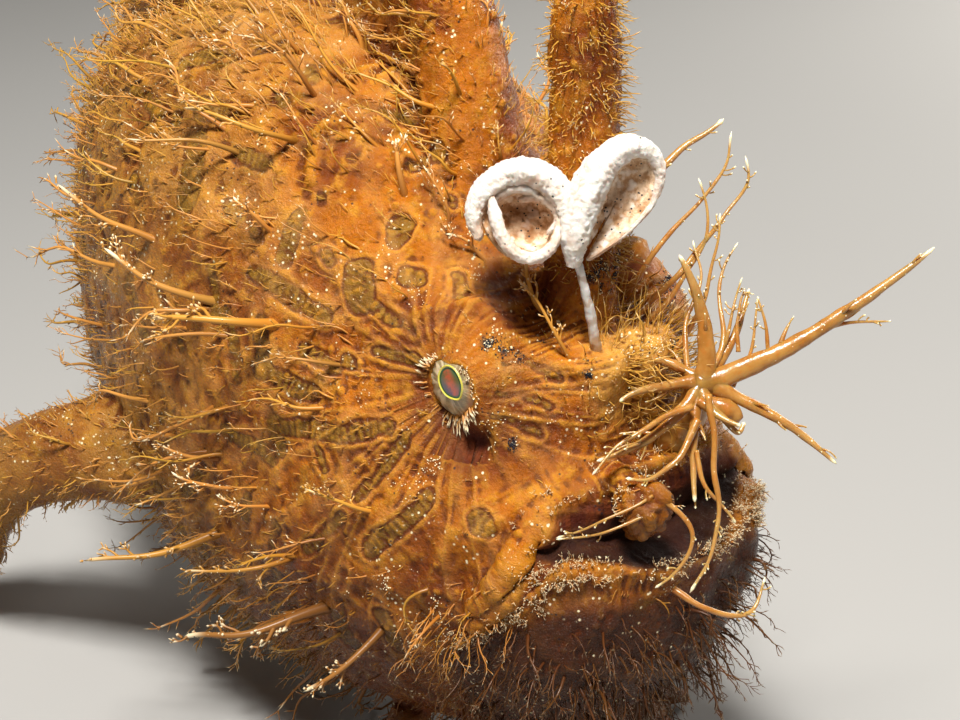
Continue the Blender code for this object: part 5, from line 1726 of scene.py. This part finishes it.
def ribbon(name, path, radii, deep, seed, finish, sides):
    """A thick rough ribbon seen on its edge: a tube stretched away from the viewer's side."""
    grid = tube_grid(path, radii, sides)
    middle = path[:, None]
    depth = (grid - middle) @ NEARER
    grid = grid + NEARER * (depth * (deep - 1))[..., None] - NEARER * (radii * (deep - 1))[:, None, None]
    flat = grid.reshape(-1, 3)
    run = np.concatenate([[0], np.cumsum(np.linalg.norm(np.diff(path, axis=0), axis=1))])
    turn = np.tile(2 * math.pi * np.arange(sides) / sides, len(path))
    ridges = np.stack([np.repeat(run, sides) / 2.4, np.cos(turn) * 2.6, np.sin(turn) * 2.6], -1)
    relief = 0.50 * noise(ridges, 1.0, seed + 3) + 0.35 * noise(flat, 0.5, seed) + 0.30 * noise(flat, 0.22, seed + 1)
    relief += 0.55 * bumps(flat, 0.30, 0.19, 0.75, seed + 2)
    inward = unit(path.mean(axis=0) - path)
    facing = np.einsum("ijk,ik->ij", unit(grid - middle), inward)
    swell = (0.14 * relief.reshape(len(path), sides) * (0.45 + 0.75 * radii[:, None]))[..., None]
    grid = grid + unit(grid - middle) * swell
    points, faces = shell(grid)
    mesh = mesh_from(name, in_world(points), faces)
    set_attribute(mesh, "rest", points)
    set_attribute(mesh, "relief", relief)
    inner = np.clip(facing, 0, 1) * np.clip(0.9 - depth / radii[:, None], 0, 1)
    set_attribute(mesh, "inner", np.clip(inner, 0, 1).ravel())
    set_attribute(mesh, "slim", np.repeat(np.clip((0.55 - radii) / 0.35, 0, 1), sides))
    outward_normals(mesh)
    mesh.materials.append(finish)
    mesh.shade_smooth()
    return object_of(mesh, name)


def cup(name, path, back_by, finish, seed):
    """The hollow inner wall of a lobe: a dished sheet inside the loop of its rim."""
    middle = path.mean(axis=0) - NEARER * back_by
    share = np.linspace(0, 1, 40)[:, None, None] ** 0.8
    grid = middle + (path[None] - middle) * share
    grid = grid - NEARER * (0.6 * np.cos(share * math.pi / 2) + 0.9 * back_by * np.sin(share * math.pi) ** 2)
    flat = grid.reshape(-1, 3)
    relief = 0.6 * noise(flat, 0.6, seed) + 0.5 * noise(flat, 0.25, seed + 1)
    flat = flat + NEARER * relief[:, None] * 0.16
    points, faces = sheet_shell(flat.reshape(grid.shape), np.full(grid.shape[:2], 0.12))
    mesh = mesh_from(name, in_world(points), faces)
    set_attribute(mesh, "rest", points)
    set_attribute(mesh, "relief", np.tile(relief, 2))
    set_attribute(mesh, "rim", np.tile(np.repeat(share.ravel(), len(path)), 2))
    mesh.materials.append(finish)
    mesh.shade_smooth()
    return object_of(mesh, name)


def lobe_material():
    m = Maker("lobe")
    rest, relief = m.attribute("rest", "Vector"), m.attribute("relief")
    mottle = m.noise(rest, 1.8, 3.0)
    colour = m.mix(m.step(mottle, 0.44, 0.66, 0.0, 0.35), CREAM, (0.90, 0.70, 0.54))
    # Painted shade in the dents of the relief.
    colour = m.mix(m.step(relief, -0.05, -0.60, 0.0, 0.55), colour, CREAM_SHADE)
    inner = m.step(m.math("ADD", m.attribute("inner"), m.math("MULTIPLY", m.noise(rest, 0.5, 3.0), 0.3)), 0.35, 0.75)
    walls = m.mix(m.step(m.noise(rest, 0.45, 4.0, 0.7), 0.40, 0.62), (0.50, 0.27, 0.12), (0.88, 0.68, 0.48))
    colour = m.mix(inner, colour, walls)
    colour = m.mix(m.math("MULTIPLY", m.attribute("slim"), m.step(mottle, 0.36, 0.60, 0.15, 0.70)), colour, (0.58, 0.25, 0.07))
    specks = m.step(m.cells(rest, 0.7), 0.14, 0.08)
    colour = m.mix(m.math("MULTIPLY", specks, m.step(mottle, 0.48, 0.58)), colour, BLUE_BLACK)
    m.bump(m.noise(rest, 0.12, 4.0, 0.75), 0.00016, 1.0)
    return m.finish(colour, 0.50, Subsurface_Weight=0.25, Subsurface_Scale=0.0007, Subsurface_Radius=(1.0, 0.6, 0.4))


def cup_material():
    m = Maker("lobe_inside")
    rest, relief = m.attribute("rest", "Vector"), m.attribute("relief")
    mottle = m.noise(rest, 0.8, 4.0, 0.65)
    colour = m.mix(m.step(mottle, 0.38, 0.62), (0.46, 0.24, 0.10), (0.84, 0.62, 0.42))
    # Painted highlight on the bumps that stand out towards the front.
    colour = m.mix(m.step(relief, 0.1, 0.6, 0.0, 0.6), colour, CREAM)
    # Painted shade deep in the middle of the dish.
    colour = m.mix(m.step(m.attribute("rim"), 0.50, 0.1, 0.0, 0.5), colour, (0.20, 0.07, 0.02))
    colour = m.mix(m.step(m.cells(rest, 0.42), 0.20, 0.12), colour, BLUE_BLACK)
    m.bump(m.noise(rest, 0.15, 4.0, 0.7), 0.00012, 0.9)
    return m.finish(colour, 0.45)


def feeler_material():
    m = Maker("feeler")
    rest, along = m.attribute("rest", "Vector"), m.attribute("along")
    mottle = m.noise(rest, 1.4, 3.0)
    colour = m.mix(m.step(mottle, 0.35, 0.65), (0.31, 0.125, 0.020), (0.41, 0.205, 0.048))
    core = m.step(m.noise(rest, 0.6, 2.0), 0.54, 0.68)
    colour = m.mix(m.math("MULTIPLY", core, 0.5), colour, (0.42, 0.14, 0.02))
    colour = m.mix(m.step(along, 0.45, 0.95, 0.0, 0.50), colour, (0.46, 0.31, 0.11))
    colour = m.mix(m.step(along, 0.94, 0.99), colour, PALE_TIPS_AND_GLINTS)
    specks = m.step(m.cells(rest, 0.5), 0.14, 0.08)
    colour = m.mix(m.math("MULTIPLY", specks, m.step(along, 0.15, 0.7)), colour, PALE_TIPS_AND_GLINTS)
    m.bump(m.noise(rest, 0.4, 3.0), 0.0001, 0.4)
    return m.finish(colour, 0.24, Subsurface_Weight=0.40, Subsurface_Scale=0.0010, Subsurface_Radius=(1.0, 0.5, 0.2))


def rod_material():
    m = Maker("rod")
    rest, along = m.attribute("rest", "Vector"), m.attribute("along")
    wave = m.math("ADD", m.math("MULTIPLY", along, 60.0), m.math("MULTIPLY", m.noise(rest, 0.8, 2.0), 6.0))
    colour = m.mix(m.step(m.math("SINE", wave), 0.4, 1.0, 0.0, 0.7), (0.60, 0.58, 0.56), (0.36, 0.24, 0.15))
    colour = m.mix(m.step(along, 0.74, 0.50), colour, (0.40, 0.20, 0.05))
    m.bump(m.noise(rest, 0.3, 3.0), 0.0001, 0.5)
    return m.finish(colour, 0.3, Subsurface_Weight=0.3, Subsurface_Scale=0.0007)


def build_lure():
    cream, inside = lobe_material(), cup_material()
    made = []
    for name, line, radii, deep, rows, sides, nodes in (
        ("lobe_right", RIGHT_ARCH, RIGHT_ARCH_RADII, 1.7, 230, 56, ["esca_right"]),
        ("lobe_right_tongue", RIGHT_TONGUE, RIGHT_TONGUE_RADII, 1.2, 170, 40, []),
        ("lobe_right_fold_1", RIGHT_FOLDS[0], RIGHT_FOLD_RADII, 2.0, 100, 32, []),
        ("lobe_right_fold_2", RIGHT_FOLDS[1], RIGHT_FOLD_RADII, 2.0, 100, 32, []),
        ("lobe_left", LEFT_LOOP, LEFT_LOOP_RADII, 1.4, 250, 56, ["esca_left"]),
    ):
        share = np.linspace(0, 1, rows)
        thick = np.interp(share, np.linspace(0, 1, len(radii)), radii)
        thick[-4:] *= (0.9, 0.7, 0.4, 0.1)
        path = seen_line(line, rows)
        made.append((ribbon(name, path, thick, deep, 51 + 10 * len(made), cream, sides), "lure", nodes))
    made.append((cup("lobe_right_inside", seen_line(RIGHT_DISH, 130), 0.9, inside, 121), "lure", []))
    made.append((cup("lobe_left_inside", seen_line(LEFT_LOOP, 130), 0.4, inside, 131), "lure", []))
    rod = arc((5.4, -1.5, -4.6), (6.6, -1.9, 1.0), from_view(8.2, 7.9, 3.5), 80)
    radii = np.linspace(0.44, 0.28, 80)
    made.append((worm("lure_rod", rod, radii, 16, 0.35, 151, rod_material()), "feeler", ["illicium"]))
    return made


def feeler_shape(path, radii, flatness, across, sides):
    """Rings of a feeler, flattened like a strap where it is wide."""
    grid = tube_grid(path, radii, sides)
    away = grid - path[:, None]
    width = np.clip((radii - 0.3) / 0.5, 0, 1)[:, None, None] * flatness
    return path[:, None] + away - across * (away @ across)[..., None] * width


def tuft_shells(rng):
    """Rings of the snout tuft's stalk, feelers, webs and side tips, each with where it starts and ends."""
    centre = from_view(*TUFT_CENTRE)
    stalk = arc((7.4, 3.0, -6.6), (9.4, 3.8, -3.2), centre, 30)
    made = [(tube_grid(stalk, np.linspace(1.5, 0.95, 30), 18), 0.0, 0.1)]
    t = np.linspace(0, 1, 48)
    for degrees, lean, length, width, bend in TUFT_BRANCHES:
        a = math.radians(degrees)
        way = unit(ACROSS * math.cos(a) + UPWARD * math.sin(a) + NEARER * lean)
        side = ACROSS * -math.sin(a) + UPWARD * math.cos(a)
        start = centre - way * 0.4
        path = arc(start, start + way * length * 0.5 - side * bend, start + way * length, 48)
        wave = np.sin(t * rng.uniform(4, 9) + rng.uniform(0, 6))[:, None] * unit(rng.normal(size=3)) * 0.20
        path = path + wave * t[:, None]
        flare = 0.28 * np.exp(-((t * length / 1.2) ** 2))
        radii = 0.10 + (width / 2 - 0.10) * (1 - t) ** 0.8 + flare
        made.append((feeler_shape(path, np.append(radii[:-1], 0.05), 0.35, NEARER, 16), 0.1, 1.0))
        for _ in range(int(length * 0.55)):
            at = rng.uniform(0.20, 0.97)
            i = int(at * 46)
            ahead = unit(path[i + 1] - path[i])
            aside = unit(np.cross(ahead, rng.normal(size=3)))
            size = rng.uniform(0.6, 3.4) * (1.1 - 0.6 * at)
            end = path[i] + ahead * size * 0.8 + aside * size * rng.uniform(0.2, 0.7)
            twig = arc(path[i], path[i] + ahead * size * 0.3 + aside * size * 0.4, end, 14)
            thick = max(radii[i] * 0.45, 0.06)
            made.append((tube_grid(twig, np.append(np.linspace(thick, 0.055, 12), (0.075, 0.02)), 8), 0.6 * at, 1.0))
    for line, first, last in FINE_FEELERS:
        path = smooth_line([from_view(*p) for p in line], 40)
        length = np.linalg.norm(np.diff(path, axis=0), axis=1).sum()
        wave = np.sin(np.linspace(0, length * 1.4, 40) + rng.uniform(0, 6))[:, None] * unit(rng.normal(size=3)) * 0.10
        path = path + wave
        radii = np.append(np.linspace(first / 2, last / 2, 38), (last * 0.6, 0.02))
        made.append((tube_grid(path, radii, 10), 0.3, 1.0))
        for _ in range(2 + int(length * 0.5)):
            i = int(rng.uniform(0.45, 0.97) * 38)
            ahead = unit(path[i + 1] - path[i])
            aside = unit(np.cross(ahead, rng.normal(size=3)))
            size = rng.uniform(0.3, 1.1)
            end = path[i] + ahead * size * 0.5 + aside * size * 0.7
            twig = arc(path[i], path[i] + aside * size * 0.4, end, 9)
            made.append((tube_grid(twig, np.append(np.full(7, 0.055), (0.085, 0.03)), 6), 0.7, 1.0))
    sac = smooth_line([from_view(*p) for p in SAC], 30)
    made.append((tube_grid(sac, np.interp(np.linspace(0, 1, 30), (0, 0.5, 0.9, 1), (0.3, 0.75, 0.5, 0.1)), 16), 0.05, 0.3))
    return made


def build_tuft():
    rng = np.random.default_rng(31)
    points, faces, along, start = [], [], [], 0
    for grid, first, last in tuft_shells(rng):
        rows, sides, _ = grid.shape
        middle = grid.mean(axis=1, keepdims=True)
        knots = 0.14 * noise(grid.reshape(-1, 3), 0.8, 33).reshape(rows, sides, 1)
        body, loops = shell(middle + (grid - middle) * (1 + knots))
        points.append(body)
        faces += [[v + start for v in loop] for loop in loops]
        along.append(np.repeat(np.linspace(first, last, rows), sides))
        start += len(body)
    points = np.concatenate(points)
    mesh = mesh_from("snout_feelers", in_world(points), faces)
    set_attribute(mesh, "rest", points)
    set_attribute(mesh, "along", np.concatenate(along))
    outward_normals(mesh)
    mesh.materials.append(feeler_material())
    mesh.shade_smooth()
    return object_of(mesh, "snout_feelers")


# Stage


def area_light(name, at, aim, size, power, colour=(1, 1, 1)):
    data = bpy.data.lights.new(name, "AREA")
    data.size = size
    data.energy = power
    data.color = colour
    obj = bpy.data.objects.new(name, data)
    bpy.context.scene.collection.objects.link(obj)
    obj.location = at
    obj.rotation_euler = (Vector(aim) - Vector(at)).to_track_quat("-Z", "Y").to_euler()
    return obj


def build_stage():
    """The photograph's camera, soft studio light and a plain pale floor."""
    data = bpy.data.cameras.new("camera")
    data.sensor_width = SENSOR
    data.lens = SENSOR * VIEW_DISTANCE / VIEW_WIDTH
    data.clip_start = 0.001
    camera = bpy.data.objects.new("camera", data)
    bpy.context.scene.collection.objects.link(camera)
    camera.location = CAMERA_AT * MM + ORIGIN
    camera.rotation_euler = Vector(-NEARER).to_track_quat("-Z", "Y").to_euler()
    bpy.context.scene.camera = camera

    target = (VIEW_ORIGIN + (-8, 4, -6)) * MM + ORIGIN
    key = target + (-ACROSS * 0.02 + UPWARD * 0.22 + NEARER * 0.23)
    area_light("key", key, target, 0.07, 2.25, (1.0, 0.96, 0.90))
    fill = target + (ACROSS * 0.28 + UPWARD * 0.04 + NEARER * 0.20)
    area_light("fill", fill, target, 0.25, 0.06, (1.0, 0.98, 0.95))
    rim = target + (ACROSS * 0.20 + UPWARD * 0.20 - NEARER * 0.20)
    area_light("rim", rim, target, 0.16, 0.6, (1.0, 0.95, 0.88))

    world = bpy.data.worlds.new("studio")
    world.use_nodes = True
    world.node_tree.nodes["Background"].inputs["Color"].default_value = (0.88, 0.84, 0.78, 1)
    world.node_tree.nodes["Background"].inputs["Strength"].default_value = 0.08
    bpy.context.scene.world = world
    bpy.context.scene.view_settings.view_transform = "Standard"

    mesh = mesh_from("floor", [(-1.5, -1.5, 0), (1.5, -1.5, 0), (1.5, 1.5, 0), (-1.5, 1.5, 0)], [(0, 1, 2, 3)])
    m = Maker("floor")
    coordinates = m.node("ShaderNodeTexCoord")
    shade = m.noise(coordinates.outputs["Object"], 0.2, 2.0)
    mesh.materials.append(m.finish(m.mix(shade, (0.36, 0.36, 0.355), (0.40, 0.40, 0.395)), 0.8))
    object_of(mesh, "floor")


FLESH = (
    "head", "lower_jaw", "trunk", "tail_stalk", "dorsal_spine_2", "dorsal_spine_3", "dorsal_fin", "anal_fin",
    "caudal_fin", "pectoral_arm_left", "pectoral_arm_right", "pectoral_fin_left", "pectoral_fin_right",
    "pelvic_fin_left", "pelvic_fin_right",
)


def attach(obj, nodes):
    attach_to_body(obj, "root")
    if nodes:
        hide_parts(*nodes)


def main():
    skin, marks, on_skin = build_skin()
    for piece in build_coat(skin, marks, on_skin):
        attach(piece, [])
    set_points(skin.data, in_world(points_of(skin.data)))
    skin.data.shade_smooth()
    skin.data.materials.append(skin_material())
    attach(skin, FLESH)

    lens, clear_skin = lens_material(), eye_skin_material()
    for side, sign in SIDES.items():
        attach(eye_shape(side, sign, clear_skin, lens), ["eye_" + side])
    for obj, slot, nodes in build_lure():
        attach(obj, nodes)
    attach(build_tuft(), ["snout_tuft"])
    build_stage()


main()
